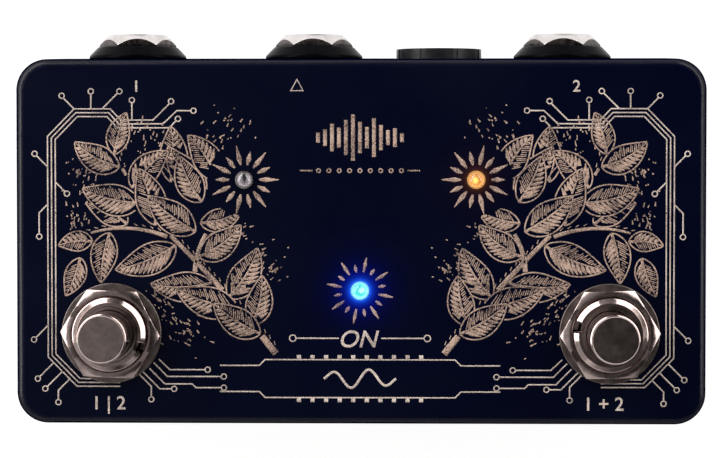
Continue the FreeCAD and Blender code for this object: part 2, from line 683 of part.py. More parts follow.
def jack_nut(turn):
    """Hexagon nut with a steep bevel towards the plug, so that each flat ends in an arch."""
    corner = JACK_NUT_FLATS / 2 / math.cos(math.pi / 6)
    low = FLANGE_FACE_Y
    drop = (corner - JACK_NUT_FACE_RADIUS) * math.tan(math.radians(JACK_NUT_SLOPE))
    limit = turned([
        (0, low),
        (corner - HOLE_CLEARANCE, low),
        (corner, low + THREAD_FIT),
        (corner, NOSE_END - drop),
        (JACK_NUT_FACE_RADIUS, NOSE_END),
        (0, NOSE_END),
    ])
    nut = hexagon(JACK_NUT_FLATS, low, NOSE_END).common(limit)
    nut = nut.cut(disc(NOSE_RADIUS + THREAD_FIT, low, NOSE_END))
    return laid_back(spun(nut, turn))


def jack_tip_contact():
    """Leaf above the plug's path, bent down near the back, with its own solder tail."""
    ceiling = JACK_BODY_HEIGHT / 2 - JACK_BODY_WALL - TIP_STRIP_THICKNESS - SLOT_CLEARANCE
    low = ceiling - TIP_STRIP_DIP
    back = JACK_BACK + JACK_BODY_WALL + SLOT_CLEARANCE
    bend = back + TIP_BEND_INSET
    tail_y = jack_tails()[1][0]
    front = tail_y + TIP_STRIP_THICKNESS / 2
    leaf = strip([(back, ceiling), (bend, low), (bend + TIP_BEND_INSET, ceiling), (front, ceiling)],
                 TIP_STRIP_THICKNESS, TIP_STRIP_WIDTH)
    tail = slab(TIP_STRIP_WIDTH, TIP_STRIP_THICKNESS, ceiling, tail_top(), 0, tail_y)
    return leaf.fuse(tail).removeSplitter()


def jack_pieces(side):
    """All pieces of one line socket, in their places."""
    x = JACKS[side]
    names = {
        "jack_body": jack_body(),
        "jack_nose": jack_nose(),
        "jack_nut": jack_nut(JACK_NUT_TURNS[side]),
        "jack_tip_contact": jack_tip_contact(),
    }
    pieces = {side + "_" + name: [moved(solid, x, 0, SOCKET_Z)] for name, solid in names.items()}
    pieces[side + "_jack_flange"] = [jack_flange(x)]
    return pieces


def power_tails():
    """Y places of the power socket's two solder tails: the centre pin's, then the outer contact's."""
    pin_y = POWER_BACK + 4 * POWER_PIN_TAIL_RADIUS
    strip_y = POWER_BORE_FLOOR + POWER_STRIP_THICKNESS
    return pin_y, strip_y


def power_pin():
    """Centre pin with a round nose, running back through the body to an upright solder tail."""
    pin_y = power_tails()[0]
    tip = POWER_PIN_END - POWER_PIN_RADIUS / 2
    profile = [
        (0, pin_y - POWER_PIN_ROOT_RADIUS),
        (POWER_PIN_ROOT_RADIUS, pin_y - POWER_PIN_ROOT_RADIUS),
        (POWER_PIN_ROOT_RADIUS, POWER_BORE_FLOOR),
        (POWER_PIN_RADIUS, POWER_BORE_FLOOR),
        (POWER_PIN_RADIUS, tip),
        (POWER_PIN_RADIUS / 2, POWER_PIN_END),
        (0, POWER_PIN_END),
    ]
    return laid_back(turned(profile)).fuse(moved(disc(POWER_PIN_TAIL_RADIUS, 0, tail_top()), 0, pin_y))


def power_contact():
    """Outer contact: a flat leaf in a slot above the barrel's bore, and a solder tail."""
    low = POWER_BORE_RADIUS + SLOT_CLEARANCE
    strip_y = power_tails()[1]
    leaf = slab(POWER_STRIP_WIDTH, POWER_STRIP_LENGTH, low, low + POWER_STRIP_THICKNESS)
    leaf = moved(leaf, 0, strip_y + POWER_STRIP_LENGTH / 2)
    tail = slab(POWER_STRIP_WIDTH, POWER_STRIP_THICKNESS, low, tail_top())
    return leaf.fuse(moved(tail, 0, strip_y + POWER_STRIP_THICKNESS / 2)).removeSplitter()


def power_body():
    """Moulded power socket: a block against the board with a threaded nose through the wall."""
    width = 2 * POWER_NOSE_RADIUS
    block = slab(width, POWER_BODY_LENGTH, -JACK_BODY_HEIGHT / 2, JACK_BODY_HEIGHT / 2)
    block = moved(block, 0, JACK_FRONT - POWER_BODY_LENGTH / 2)
    outline = [(0, JACK_FRONT), (0, POWER_NOSE_END)]
    outline += threads(POWER_NOSE_RADIUS, THREAD_DEPTH, JACK_FRONT, POWER_NOSE_END, JACK_THREAD_PITCH)
    outline += [(POWER_NOSE_RADIUS, JACK_FRONT)]
    body = block.fuse(laid_back(turned(outline)))
    body = body.cut(laid_back(disc(POWER_BORE_RADIUS, POWER_BORE_FLOOR, POWER_NOSE_END)))
    body = body.cut(laid_back(disc(POWER_PIN_ROOT_RADIUS + THREAD_FIT, POWER_BACK, POWER_BORE_FLOOR)))
    pin_y, strip_y = power_tails()
    top = JACK_BODY_HEIGHT / 2
    body = body.cut(moved(disc(POWER_PIN_TAIL_RADIUS + SLOT_CLEARANCE, 0, top), 0, pin_y))
    slot_width = POWER_STRIP_WIDTH + 2 * SLOT_CLEARANCE
    slot_length = POWER_STRIP_LENGTH + 2 * SLOT_CLEARANCE
    slot_top = POWER_BORE_RADIUS + POWER_STRIP_THICKNESS + 2 * SLOT_CLEARANCE
    leaf_slot = slab(slot_width, slot_length, 0, slot_top, 0, strip_y + POWER_STRIP_LENGTH / 2)
    tail_slot = slab(slot_width, POWER_STRIP_THICKNESS + 2 * SLOT_CLEARANCE, 0, top)
    tail_slot = moved(tail_slot, 0, strip_y + POWER_STRIP_THICKNESS / 2)
    return body.cut(leaf_slot).cut(tail_slot).removeSplitter()


def power_nut():
    """Round plastic nut with shallow notches round its edge, cut to the leaning wall."""
    wall_y = rear_wall(SOCKET_Z)
    nut = ring(POWER_NOSE_RADIUS + THREAD_FIT, POWER_NUT_RADIUS, wall_y - WALL, POWER_NOSE_END)
    depth = 2 * POWER_NUT_NOTCH_DEPTH
    notch = slab(depth, POWER_NUT_NOTCH_WIDTH, wall_y - WALL, POWER_NOSE_END, POWER_NUT_RADIUS)
    for step in range(POWER_NUT_NOTCHES):
        nut = nut.cut(spun(notch, (step + 0.5) * 360 / POWER_NUT_NOTCHES))
    nut = moved(laid_back(nut), POWER_JACK_X, 0, SOCKET_Z)
    return nut.cut(tapered_block(0, RIM_Z, TOP_Z, CORNER_RADIUS))


def power_pieces():
    """All pieces of the power socket, in their places."""
    names = {
        "power_jack_body": power_body(),
        "power_jack_pin": power_pin(),
        "power_jack_contact": power_contact(),
    }
    pieces = {name: [moved(solid, POWER_JACK_X, 0, SOCKET_Z)] for name, solid in names.items()}
    pieces["power_jack_nut"] = [power_nut()]
    return pieces


def lamp():
    """Round-topped lamp body with a flange that stops it below the top wall."""
    dome = TOP_Z + LAMP_RISE - LAMP_RADIUS
    body = disc(LAMP_RADIUS, CEILING_Z, dome)
    body = body.fuse(disc(LAMP_FLANGE_RADIUS, CEILING_Z - LAMP_FLANGE_HEIGHT, CEILING_Z))
    ball = Part.makeSphere(LAMP_RADIUS, Vector(0, 0, dome))
    upper = slab(4 * LAMP_RADIUS, 4 * LAMP_RADIUS, dome, dome + 2 * LAMP_RADIUS)
    return body.fuse(ball.common(upper)).removeSplitter()


def lead_places():
    """Plan places of the lamps' leads, two below each lamp."""
    return [(x + side * LEAD_SPACING / 2, y) for x, y in LAMPS.values() for side in (-1, 1)]


def lamp_leads():
    top = CEILING_Z - LAMP_FLANGE_HEIGHT
    return [slab(LEAD_WIDTH, LEAD_WIDTH, BOARD_BOTTOM - TAIL, top, x, y) for x, y in lead_places()]


def header_places():
    first = -(HEADER_PINS - 1) * HEADER_PITCH / 2
    return [(first + pin * HEADER_PITCH, HEADER_Y) for pin in range(HEADER_PINS)]


def header_pins():
    """Square pins that join the two boards, soldered through both."""
    low = SWITCH_BOARD_BOTTOM - TAIL
    high = BOARD_TOP + TAIL
    return [slab(HEADER_PIN_WIDTH, HEADER_PIN_WIDTH, low, high, x, y) for x, y in header_places()]


def header_spacers():
    """Moulded strips that hold the header pins, one on the switch board and one under the main board."""
    length = HEADER_PINS * HEADER_PITCH
    low = slab(length, HEADER_PITCH, SWITCH_BOARD_TOP, SWITCH_BOARD_TOP + HEADER_HEIGHT, 0, HEADER_Y)
    high = slab(length, HEADER_PITCH, BOARD_BOTTOM - HEADER_HEIGHT, BOARD_BOTTOM, 0, HEADER_Y)
    width = HEADER_PIN_WIDTH + 2 * SLOT_CLEARANCE
    for x, y in header_places():
        hole = slab(width, width, SWITCH_BOARD_TOP, BOARD_BOTTOM, x, y)
        low = low.cut(hole)
        high = high.cut(hole)
    return [low, high]


def relay_places():
    return [(side * RELAY_X, SWITCH_Y + RELAY_SHIFT) for side in (-1, 1)]


def relay_pin_places():
    places = []
    for x, y in relay_places():
        for column in (-1.5, -0.5, 0.5, 1.5):
            for row in (-1, 1):
                places.append((x + column * RELAY_PIN_PITCH, y + row * RELAY_PIN_ROW))
    return places


def relays():
    """Two signal relays hung under the main board, a little clear of it on their pins."""
    top = BOARD_BOTTOM - RELAY_PIN_STANDOFF
    cases = []
    for x, y in relay_places():
        case = slab(RELAY_LENGTH, RELAY_DEPTH, top - RELAY_HEIGHT, top, x, y)
        cases.append(case.makeFillet(MOVING_CLEARANCE, edges_at(case, top - RELAY_HEIGHT)))
    return cases


def relay_pins():
    low = BOARD_BOTTOM - RELAY_PIN_STANDOFF
    return [slab(LEAD_WIDTH, LEAD_WIDTH, low, BOARD_TOP + TAIL, x, y) for x, y in relay_pin_places()]


def main_board():
    """Board on top of the sockets: wide at the rear, with a tongue between the two foot switches."""
    half = SCREW_X - BOSS_RADIUS - BOARD_GAP
    middle = (BOARD_REAR + BOARD_NOTCH) / 2
    board = slab(2 * half, BOARD_REAR - BOARD_NOTCH, BOARD_BOTTOM, BOARD_TOP, 0, middle)
    tongue_half = SWITCH_X - SWITCH_BODY_WIDTH / 2 - TONGUE_GAP
    tongue_middle = (BOARD_NOTCH + BOARD_FRONT) / 2
    tongue_depth = BOARD_NOTCH - BOARD_FRONT
    tongue = slab(2 * tongue_half, tongue_depth, BOARD_BOTTOM, BOARD_TOP, 0, tongue_middle)
    board = board.fuse(tongue).removeSplitter()
    lead = LEAD_WIDTH + 2 * SLOT_CLEARANCE
    pin = HEADER_PIN_WIDTH + 2 * SLOT_CLEARANCE
    holes = [(x, y, lead, lead) for x, y in lead_places() + relay_pin_places()]
    holes += [(x, y, pin, pin) for x, y in header_places()]
    for x in JACKS.values():
        for y, width, depth in jack_tails():
            holes.append((x, y, width + 2 * SLOT_CLEARANCE, depth + 2 * SLOT_CLEARANCE))
    pin_y, strip_y = power_tails()
    pin_hole = 2 * POWER_PIN_TAIL_RADIUS + 2 * SLOT_CLEARANCE
    holes.append((POWER_JACK_X, pin_y, pin_hole, pin_hole))
    strip_middle = strip_y + POWER_STRIP_THICKNESS / 2
    strip_hole = (POWER_STRIP_WIDTH + 2 * SLOT_CLEARANCE, POWER_STRIP_THICKNESS + 2 * SLOT_CLEARANCE)
    holes.append((POWER_JACK_X, strip_middle, *strip_hole))
    for x, y, width, depth in holes:
        board = board.cut(slab(width, depth, BOARD_BOTTOM, BOARD_TOP, x, y))
    return board


def switch_board():
    """Narrow board soldered to the lugs of both foot switches."""
    half = SWITCH_X + SWITCH_BODY_WIDTH / 2
    y = SWITCH_Y - SWITCH_BOARD_FRONT + SWITCH_BOARD_DEPTH / 2
    board = slab(2 * half, SWITCH_BOARD_DEPTH, SWITCH_BOARD_BOTTOM, SWITCH_BOARD_TOP, 0, y)
    width = LUG_WIDTH + 2 * SLOT_CLEARANCE
    depth = LUG_THICKNESS + 2 * SLOT_CLEARANCE
    for switch_x in SWITCHES.values():
        for x, y in lug_places():
            hole = slab(width, depth, SWITCH_BOARD_BOTTOM, SWITCH_BOARD_TOP, x, SWITCH_Y + y)
            board = board.cut(moved(hole, switch_x))
    pin = HEADER_PIN_WIDTH + 2 * SLOT_CLEARANCE
    for x, y in header_places():
        board = board.cut(slab(pin, pin, SWITCH_BOARD_BOTTOM, SWITCH_BOARD_TOP, x, y))
    return board


def controller_chip():
    low = BOARD_TOP + CHIP_STANDOFF
    return [slab(CHIP_LENGTH, CHIP_DEPTH, low, low + CHIP_HEIGHT, CHIP_X, BOARD_REAR - CHIP_INSET)]


def chip_legs():
    """Bent legs down both long sides of the chip, each from the body's middle to a foot on the board."""
    middle = BOARD_TOP + CHIP_STANDOFF + CHIP_HEIGHT / 2
    start = CHIP_DEPTH / 2
    knee = start + CHIP_LEG_REACH / 3
    end = start + CHIP_LEG_REACH
    leg = strip([(start, middle), (knee, middle), (knee + CHIP_LEG_THICKNESS, BOARD_TOP), (end, BOARD_TOP)],
                CHIP_LEG_THICKNESS, CHIP_LEG_WIDTH)
    other = spun(leg, 180)
    legs = []
    for step in range(CHIP_LEGS):
        x = CHIP_X + (step - (CHIP_LEGS - 1) / 2) * CHIP_LEG_PITCH
        legs.append(moved(leg, x, BOARD_REAR - CHIP_INSET))
        legs.append(moved(other, x, BOARD_REAR - CHIP_INSET))
    return legs


def regulator():
    """Voltage regulator: moulded body with a wide tab on one side and three legs on the other."""
    body = slab(REGULATOR_LENGTH, REGULATOR_DEPTH, BOARD_TOP, BOARD_TOP + REGULATOR_HEIGHT)
    leg_top = BOARD_TOP + REGULATOR_LEG_THICKNESS
    leg_y = (REGULATOR_DEPTH + REGULATOR_LEG_REACH) / 2
    solids = [body, slab(REGULATOR_TAB, REGULATOR_LEG_REACH, BOARD_TOP, leg_top, 0, leg_y)]
    for step in (-1, 0, 1):
        x = step * REGULATOR_LEG_PITCH
        solids.append(slab(REGULATOR_LEG_WIDTH, REGULATOR_LEG_REACH, BOARD_TOP, leg_top, x, -leg_y))
    return [moved(solid, REGULATOR_X, BOARD_REAR - REGULATOR_INSET) for solid in solids]


def can(radius, height):
    """Electrolytic can hung under the board: crimp groove near the board, softened lower edge."""
    low = BOARD_BOTTOM - height
    groove = BOARD_BOTTOM - 3 * CAN_GROOVE
    body = turned([
        (0, low),
        (radius - CAN_GROOVE, low),
        (radius, low + CAN_GROOVE),
        (radius, groove - CAN_GROOVE),
        (radius - CAN_GROOVE, groove),
        (radius, groove + CAN_GROOVE),
        (radius, BOARD_BOTTOM),
        (0, BOARD_BOTTOM),
    ])
    return body


def capacitors():
    """One tall can and two small ones, midway between sockets; the front one is clear of a lamp's lead."""
    small = can(SMALL_CAN_RADIUS, SMALL_CAN_HEIGHT)
    return [
        moved(can(TALL_CAN_RADIUS, TALL_CAN_HEIGHT), TALL_CAN_X, BOARD_REAR - TALL_CAN_INSET),
        moved(small, SMALL_CAN_X, BOARD_REAR - SMALL_CAN_INSET),
        moved(small, SMALL_CAN_X, SIDE_LAMP_Y - SMALL_CAN_LAMP_GAP),
    ]


def resistors():
    """Two rows of flat chip resistors on top of the main board."""
    chip = slab(RESISTOR_LENGTH, RESISTOR_DEPTH, BOARD_TOP, BOARD_TOP + RESISTOR_HEIGHT)
    first = -(RESISTOR_COUNT - 1) * RESISTOR_PITCH / 2
    chips = []
    for y in (BOARD_REAR - RESISTOR_INSET, SWITCH_Y):
        for step in range(RESISTOR_COUNT):
            chips.append(moved(chip, first + step * RESISTOR_PITCH, y))
    return chips


def diodes():
    """Small moulded diodes in a row at the board's rear edge."""
    y = BOARD_REAR - DIODE_INSET
    diode = slab(DIODE_DEPTH, DIODE_LENGTH, BOARD_TOP, BOARD_TOP + DIODE_HEIGHT, DIODE_X, y)
    return [moved(diode, -step * DIODE_PITCH) for step in range(DIODE_COUNT)]


def all_pieces():
    pieces = {
        "enclosure": [enclosure()],
        "base_plate": [base_plate()],
        "base_plate_screws": base_plate_screws(),
        "rubber_feet": rubber_feet(),
        "main_board": [main_board()],
        "switch_board": [switch_board()],
        "header_pins": header_pins(),
        "header_spacers": header_spacers(),
        "lamp_leads": lamp_leads(),
        "relays": relays(),
        "relay_pins": relay_pins(),
        "controller_chip": controller_chip(),
        "chip_legs": chip_legs(),
        "regulator": regulator(),
        "capacitors": capacitors(),
        "resistors": resistors(),
        "diodes": diodes(),
    }
    for name, (x, y) in LAMPS.items():
        pieces[name + "_lamp"] = [moved(lamp(), x, y)]
    for side in SWITCHES:
        pieces.update(switch_pieces(side))
    for side in JACKS:
        pieces.update(jack_pieces(side))
    pieces.update(power_pieces())
    return pieces


def export(pieces):
    """Write one file per piece, moved so that the pedal's footprint is centred on the origin."""
    os.makedirs("parts", exist_ok=True)
    for name, solids in pieces.items():
        shape = solids[0] if len(solids) == 1 else Part.makeCompound(solids)
        moved(shape, 0, -PEDAL_MIDDLE_Y).exportStep(os.path.join("parts", name + ".step"))
        volume = sum(solid.Volume for solid in solids)
        print(f"{name}: {len(shape.Solids)} solids, {volume:.1f} mm3, valid {shape.isValid()}")


export(all_pieces())
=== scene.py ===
import math
import random

import bmesh
import bpy
from mathutils import Matrix, Vector


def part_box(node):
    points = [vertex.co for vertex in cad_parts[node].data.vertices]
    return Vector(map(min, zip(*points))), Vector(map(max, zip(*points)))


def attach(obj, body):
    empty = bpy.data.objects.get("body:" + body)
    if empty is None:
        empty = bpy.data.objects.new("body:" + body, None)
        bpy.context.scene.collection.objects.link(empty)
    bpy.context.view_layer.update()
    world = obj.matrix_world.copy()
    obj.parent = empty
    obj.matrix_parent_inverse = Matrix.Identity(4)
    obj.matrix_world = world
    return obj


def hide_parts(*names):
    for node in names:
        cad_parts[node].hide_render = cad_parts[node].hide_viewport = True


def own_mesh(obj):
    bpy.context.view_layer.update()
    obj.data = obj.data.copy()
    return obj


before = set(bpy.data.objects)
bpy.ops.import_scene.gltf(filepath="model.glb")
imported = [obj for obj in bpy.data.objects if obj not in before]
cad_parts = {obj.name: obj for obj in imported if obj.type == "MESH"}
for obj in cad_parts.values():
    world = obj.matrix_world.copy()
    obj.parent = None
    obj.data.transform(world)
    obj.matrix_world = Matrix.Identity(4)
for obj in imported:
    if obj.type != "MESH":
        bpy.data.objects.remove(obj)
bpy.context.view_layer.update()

# Camera: high above the pedal and a little behind and to the right of its middle, so that the sockets
# on the rear edge show. The picture is 115 mm wide at the top face.
MM = 0.001
CAMERA_PLACE = Vector((10.8, 13.0, 433.0)) * MM
CAMERA_TARGET = Vector((0.0, 0.38, 33.0)) * MM
PICTURE_WIDTH = 114.8 * MM
SENSOR_WIDTH = 36.0

camera_back = (CAMERA_PLACE - CAMERA_TARGET).normalized()
camera_right = Vector((0.0, 1.0, 0.0)).cross(camera_back).normalized()
camera_up = camera_back.cross(camera_right)
camera_data = bpy.data.cameras.new("camera")
camera_data.sensor_width = SENSOR_WIDTH
camera_data.lens = SENSOR_WIDTH * (CAMERA_PLACE - CAMERA_TARGET).length / PICTURE_WIDTH
camera = bpy.data.objects.new("camera", camera_data)
turn = Matrix((camera_right, camera_up, camera_back)).transposed().to_4x4()
camera.matrix_world = Matrix.Translation(CAMERA_PLACE) @ turn
bpy.context.scene.collection.objects.link(camera)
bpy.context.scene.camera = camera
bpy.context.scene.view_settings.view_transform = "Standard"

# Light: two wide soft boxes low behind the pedal, the left one brighter, and a weak one in front, in a
# studio with a dark ceiling that grows paler to the left and with pale walls behind. Flat metal on top
# stays dark, and its bevels catch the boxes.
CEILING_LIGHT = 0.03
CEILING_RAMP = 0.78
RAMP_START = 0.1
RAMP_REACH = 0.5
WALL_LIGHT = 0.9
WALL_RISE = 4.0
FRONT_SHARE = 0.12
FRONT_TO_BACK = (-0.6, 0.4)
LIGHT_WARMTH = (1.0, 0.975, 0.95, 1.0)
BOX_DISTANCE = 0.5
BOX_ELEVATION = 35.5
BOX_HEIGHT = 0.2
SOFT_BOXES = {"left": (151.0, 0.81, 4.6), "right": (30.0, 0.73, 3.4), "front": (270.0, 0.62, 0.42)}


def node(tree, kind, inputs=None, **settings):
    """Add a shader node. Settings are its own properties; an input takes a value or another's output."""
    made = tree.nodes.new("ShaderNode" + kind)
    for name, value in settings.items():
        setattr(made, name, value)
    for name, value in (inputs or {}).items():
        if isinstance(value, bpy.types.NodeSocket):
            tree.links.new(value, made.inputs[name])
        else:
            made.inputs[name].default_value = value
    return made


def maths(tree, operation, *values, **settings):
    """Output of a Math node. Each value is a number or another node's output."""
    return node(tree, "Math", dict(enumerate(values)), operation=operation, **settings).outputs[0]


def remap(tree, value, low, high, to_low=0.0, to_high=1.0):
    """A value carried from one range to another, and held within it."""
    ends = {"From Min": low, "From Max": high, "To Min": to_low, "To Max": to_high}
    return node(tree, "MapRange", {"Value": value, **ends}).outputs[0]


world = bpy.data.worlds.new("studio")
world.use_nodes = True
studio = world.node_tree
studio.nodes.clear()
direction = node(studio, "TexCoord").outputs["Generated"]
parts = node(studio, "SeparateXYZ", {0: direction}).outputs
leftward = maths(studio, "SUBTRACT", RAMP_START, parts["X"])
ramp = remap(studio, leftward, 0.0, RAMP_REACH, CEILING_LIGHT, CEILING_LIGHT + CEILING_RAMP * RAMP_REACH)
low = maths(studio, "SUBTRACT", 1.0, parts["Z"], use_clamp=True)
wall = maths(studio, "POWER", low, WALL_RISE)
back = remap(studio, parts["Y"], *FRONT_TO_BACK, FRONT_SHARE * WALL_LIGHT, WALL_LIGHT)
level = maths(studio, "MULTIPLY_ADD", wall, back, ramp)
background = node(studio, "Background", {"Color": LIGHT_WARMTH, "Strength": level})
node(studio, "OutputWorld", {"Surface": background.outputs[0]})
bpy.context.scene.world = world

for side, (azimuth, width, radiance) in SOFT_BOXES.items():
    lamp_data = bpy.data.lights.new(side + "_soft_box", "AREA")
    lamp_data.shape = "RECTANGLE"
    lamp_data.size = width
    lamp_data.size_y = BOX_HEIGHT
    lamp_data.energy = radiance * math.pi * width * BOX_HEIGHT
    lamp_data.color = LIGHT_WARMTH[:3]
    lamp = bpy.data.objects.new(side + "_soft_box", lamp_data)
    turn, rise = math.radians(azimuth), math.radians(BOX_ELEVATION)
    place = Vector((math.cos(turn) * math.cos(rise), math.sin(turn) * math.cos(rise), math.sin(rise)))
    facing = place.to_track_quat("Z", "Y").to_matrix().to_4x4()
    lamp.matrix_world = Matrix.Translation(place * BOX_DISTANCE) @ facing
    bpy.context.scene.collection.objects.link(lamp)

# Floor: a plain white sheet that the pedal stands on. To the eye and in mirrors most of its white is its
# own, so that the pedal's shadow on it stays faint.
FLOOR_SIZE = 3.0
FLOOR_COLOUR = (0.3, 0.3, 0.3, 1.0)
FLOOR_ROUGHNESS = 0.9
FLOOR_GLOW = 0.9
WHITE = (1.0, 1.0, 1.0, 1.0)


def new_material(name, **values):
    """A material with one Principled shader. Returns the material, its node tree and the shader."""
    material = bpy.data.materials.new(name)
    material.use_nodes = True
    tree = material.node_tree
    tree.nodes.clear()
    shader = node(tree, "BsdfPrincipled", {key.replace("_", " "): value for key, value in values.items()})
    node(tree, "OutputMaterial", {"Surface": shader.outputs[0]})
    return material, tree, shader


def placed(name, bm, material):
    """Make a mesh into an object of the scene."""
    mesh = bpy.data.meshes.new(name)
    bm.to_mesh(mesh)
    bm.free()
    mesh.materials.append(material)
    piece = bpy.data.objects.new(name, mesh)
    bpy.context.scene.collection.objects.link(piece)
    return piece


floor_paint, tree, shader = new_material("floor_paint", Base_Color=FLOOR_COLOUR, Roughness=FLOOR_ROUGHNESS,
                                         Specular_IOR_Level=0.0, Emission_Color=WHITE)
rays = node(tree, "LightPath").outputs
seen = maths(tree, "ADD", rays["Is Camera Ray"], rays["Is Glossy Ray"])
seen = maths(tree, "ADD", seen, rays["Is Transmission Ray"], use_clamp=True)
tree.links.new(maths(tree, "MULTIPLY", seen, FLOOR_GLOW), shader.inputs["Emission Strength"])
bm = bmesh.new()
bmesh.ops.create_grid(bm, x_segments=1, y_segments=1, size=FLOOR_SIZE / 2)
floor = placed("floor", bm, floor_paint)

# Enclosure: the cast aluminium body that carries everything, powder coated in very dark navy with a fine,
# even grain. The lit lamps shine on the coat around them, so its own emission falls off from each.
COAT_COLOURS = ((0.0003, 0.0014, 0.0115, 1.0), (0.0010, 0.0024, 0.0125, 1.0))
COAT_ROUGHNESS = (0.23, 0.36)
COAT_SPECULAR = 0.12
COAT_EDGE_SPECULAR = 0.36
EDGE_RISE = (0.03, 0.2)
EDGE_FALL = (0.27, 0.46)
COAT_GRAIN = 0.22 * MM
COAT_GRAIN_DEPTH = 0.006 * MM
CLOUD_SCALE = 45.0
FLECK_SHARE = 0.35
FLECK_RANGE = (0.5, 0.9)
SPILL_CORE = 1.0 * MM
SPILL_FALL = 3.35
BLUE_PEAK = 5.0
BLUE_SPILL = (0.016, 0.16, 1.0)
AMBER_PEAK = 0.25
AMBER_SPILL = (1.0, 0.28, 0.03)
FLOAT = "NodeSocketFloat"
lamp_centres = {}
for name in ("left", "centre", "right"):
    low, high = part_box(name + "_lamp")
    lamp_centres[name] = (low + high) / 2


def new_group(name, inputs, outputs):
    """Start a shader node group. Returns it with its inner input and output sockets."""
    group = bpy.data.node_groups.new(name, "ShaderNodeTree")
    for label, kind, value in inputs:
        group.interface.new_socket(label, in_out="INPUT", socket_type=kind).default_value = value
    for label, kind in outputs:
        group.interface.new_socket(label, in_out="OUTPUT", socket_type=kind)
    return group, group.nodes.new("NodeGroupInput").outputs, group.nodes.new("NodeGroupOutput").inputs


def flat_distance(tree, centre, squash=1.0):
    """Distance over the top face, in metres, from an upright axis. Squash shortens it along Y."""
    place = node(tree, "TexCoord").outputs["Object"]
    level = node(tree, "VectorMath", {0: place, 1: (1.0, squash, 0.0)}, operation="MULTIPLY").outputs[0]
    return node(tree, "VectorMath", {0: level, 1: (centre.x, centre.y * squash, 0.0)},
                operation="DISTANCE").outputs["Value"]


def noise(tree, scale, **inputs):
    """Noise over the object's own place."""
    place = node(tree, "TexCoord").outputs["Object"]
    return node(tree, "TexNoise", {"Vector": place, "Scale": scale, **inputs}).outputs[0]


def spill_level(tree, centre, peak):
    """Brightness of a lamp's light on the coat, falling away from its axis."""
    reach = maths(tree, "DIVIDE", flat_distance(tree, centre), SPILL_CORE)
    fall = maths(tree, "ADD", maths(tree, "POWER", reach, SPILL_FALL), 1.0)
    return maths(tree, "DIVIDE", peak, fall)


lamp_spill, _, exit_sockets = new_group("lamp_spill", [], [("Colour", "NodeSocketColor")])
blue = spill_level(lamp_spill, lamp_centres["centre"], BLUE_PEAK)
deep = maths(lamp_spill, "POWER", blue, 2.0)
parts = [maths(lamp_spill, "MULTIPLY", light, share) for light, share in zip((deep, deep, blue), BLUE_SPILL)]
blue_part = node(lamp_spill, "CombineXYZ", dict(enumerate(parts))).outputs[0]
amber = spill_level(lamp_spill, lamp_centres["right"], AMBER_PEAK)
amber_part = node(lamp_spill, "VectorMath", {0: AMBER_SPILL, "Scale": amber}, operation="SCALE").outputs[0]
total = node(lamp_spill, "VectorMath", {0: blue_part, 1: amber_part}, operation="ADD").outputs[0]
lamp_spill.links.new(total, exit_sockets["Colour"])

powder, entry, exit_sockets = new_group(
    "powder",
    [("Grain", FLOAT, COAT_GRAIN)],
    [("Height", FLOAT), ("Tone", FLOAT)],
)
grain = noise(powder, maths(powder, "DIVIDE", 1.0, entry["Grain"]), Detail=2.0, Roughness=0.6)
powder.links.new(grain, exit_sockets["Height"])
cloud = noise(powder, CLOUD_SCALE, Detail=4.0, Roughness=0.55)
fleck = maths(powder, "MULTIPLY_ADD", grain, FLECK_SHARE, cloud)
powder.links.new(remap(powder, fleck, *FLECK_RANGE), exit_sockets["Tone"])


def mixed_colour(tree, mask, dark, light):
    """Colour between two others, by a mask. Each is a constant or another node's output."""
    blend = node(tree, "Mix", data_type="RGBA")
    factor, *colours = [socket for socket in blend.inputs if socket.enabled]
    tree.links.new(mask, factor)
    for socket, value in zip(colours, (dark, light)):
        if isinstance(value, bpy.types.NodeSocket):
            tree.links.new(value, socket)
        else:
            socket.default_value = value
    return [socket for socket in blend.outputs if socket.enabled][0]


def bumped(tree, shader, height, depth):
    """Let a height stand out of a surface, by at most a depth."""
    bump = node(tree, "Bump", {"Height": height, "Distance": depth})
    tree.links.new(bump.outputs[0], shader.inputs["Normal"])


def spilled(tree, shader, strength):
    """Give a surface the light of the lamps beside it."""
    glow = node(tree, "Group", node_tree=lamp_spill).outputs["Colour"]
    tree.links.new(glow, shader.inputs["Emission Color"])
    shader.inputs["Emission Strength"].default_value = strength


def powder_coat(name, spill):
    """Navy powder coat, glossier where it starts to curve away; spill adds the lamps' light to it."""
    material, tree, shader = new_material(name)
    facing = node(tree, "LayerWeight", {"Blend": 0.5}).outputs["Facing"]
    rise = remap(tree, facing, *EDGE_RISE, COAT_SPECULAR, COAT_EDGE_SPECULAR)
    fall = remap(tree, facing, *EDGE_FALL, 1.0, 0.0)
    tree.links.new(maths(tree, "MULTIPLY", rise, fall), shader.inputs["Specular IOR Level"])
    coat = node(tree, "Group", node_tree=powder).outputs
    tree.links.new(mixed_colour(tree, coat["Tone"], *COAT_COLOURS), shader.inputs["Base Color"])
    tree.links.new(remap(tree, coat["Tone"], 0.0, 1.0, *COAT_ROUGHNESS), shader.inputs["Roughness"])
    bumped(tree, shader, coat["Height"], COAT_GRAIN_DEPTH)
    if spill:
        spilled(tree, shader, 1.0)
    return material


def dress(material, *names):
    """Give carried-over pieces of the frame their finish."""
    for name in names:
        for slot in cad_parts[name].material_slots:
            slot.material = material


dress(powder_coat("body_powder", spill=True), "enclosure")

# Base plate: a flat plate with the same coat, held by four countersunk screws of blackened steel.
# Its underside is the part of the pedal that nobody sees in use.
SCREW_COLOURS = ((0.035, 0.035, 0.038, 1.0), (0.06, 0.06, 0.065, 1.0))
SCREW_ROUGHNESS = (0.3, 0.5)
SMUDGE_SIZE = 2.5 * MM
SMUDGE_RANGE = (0.32, 0.68)
dress(powder_coat("plate_powder", spill=False), "base_plate")

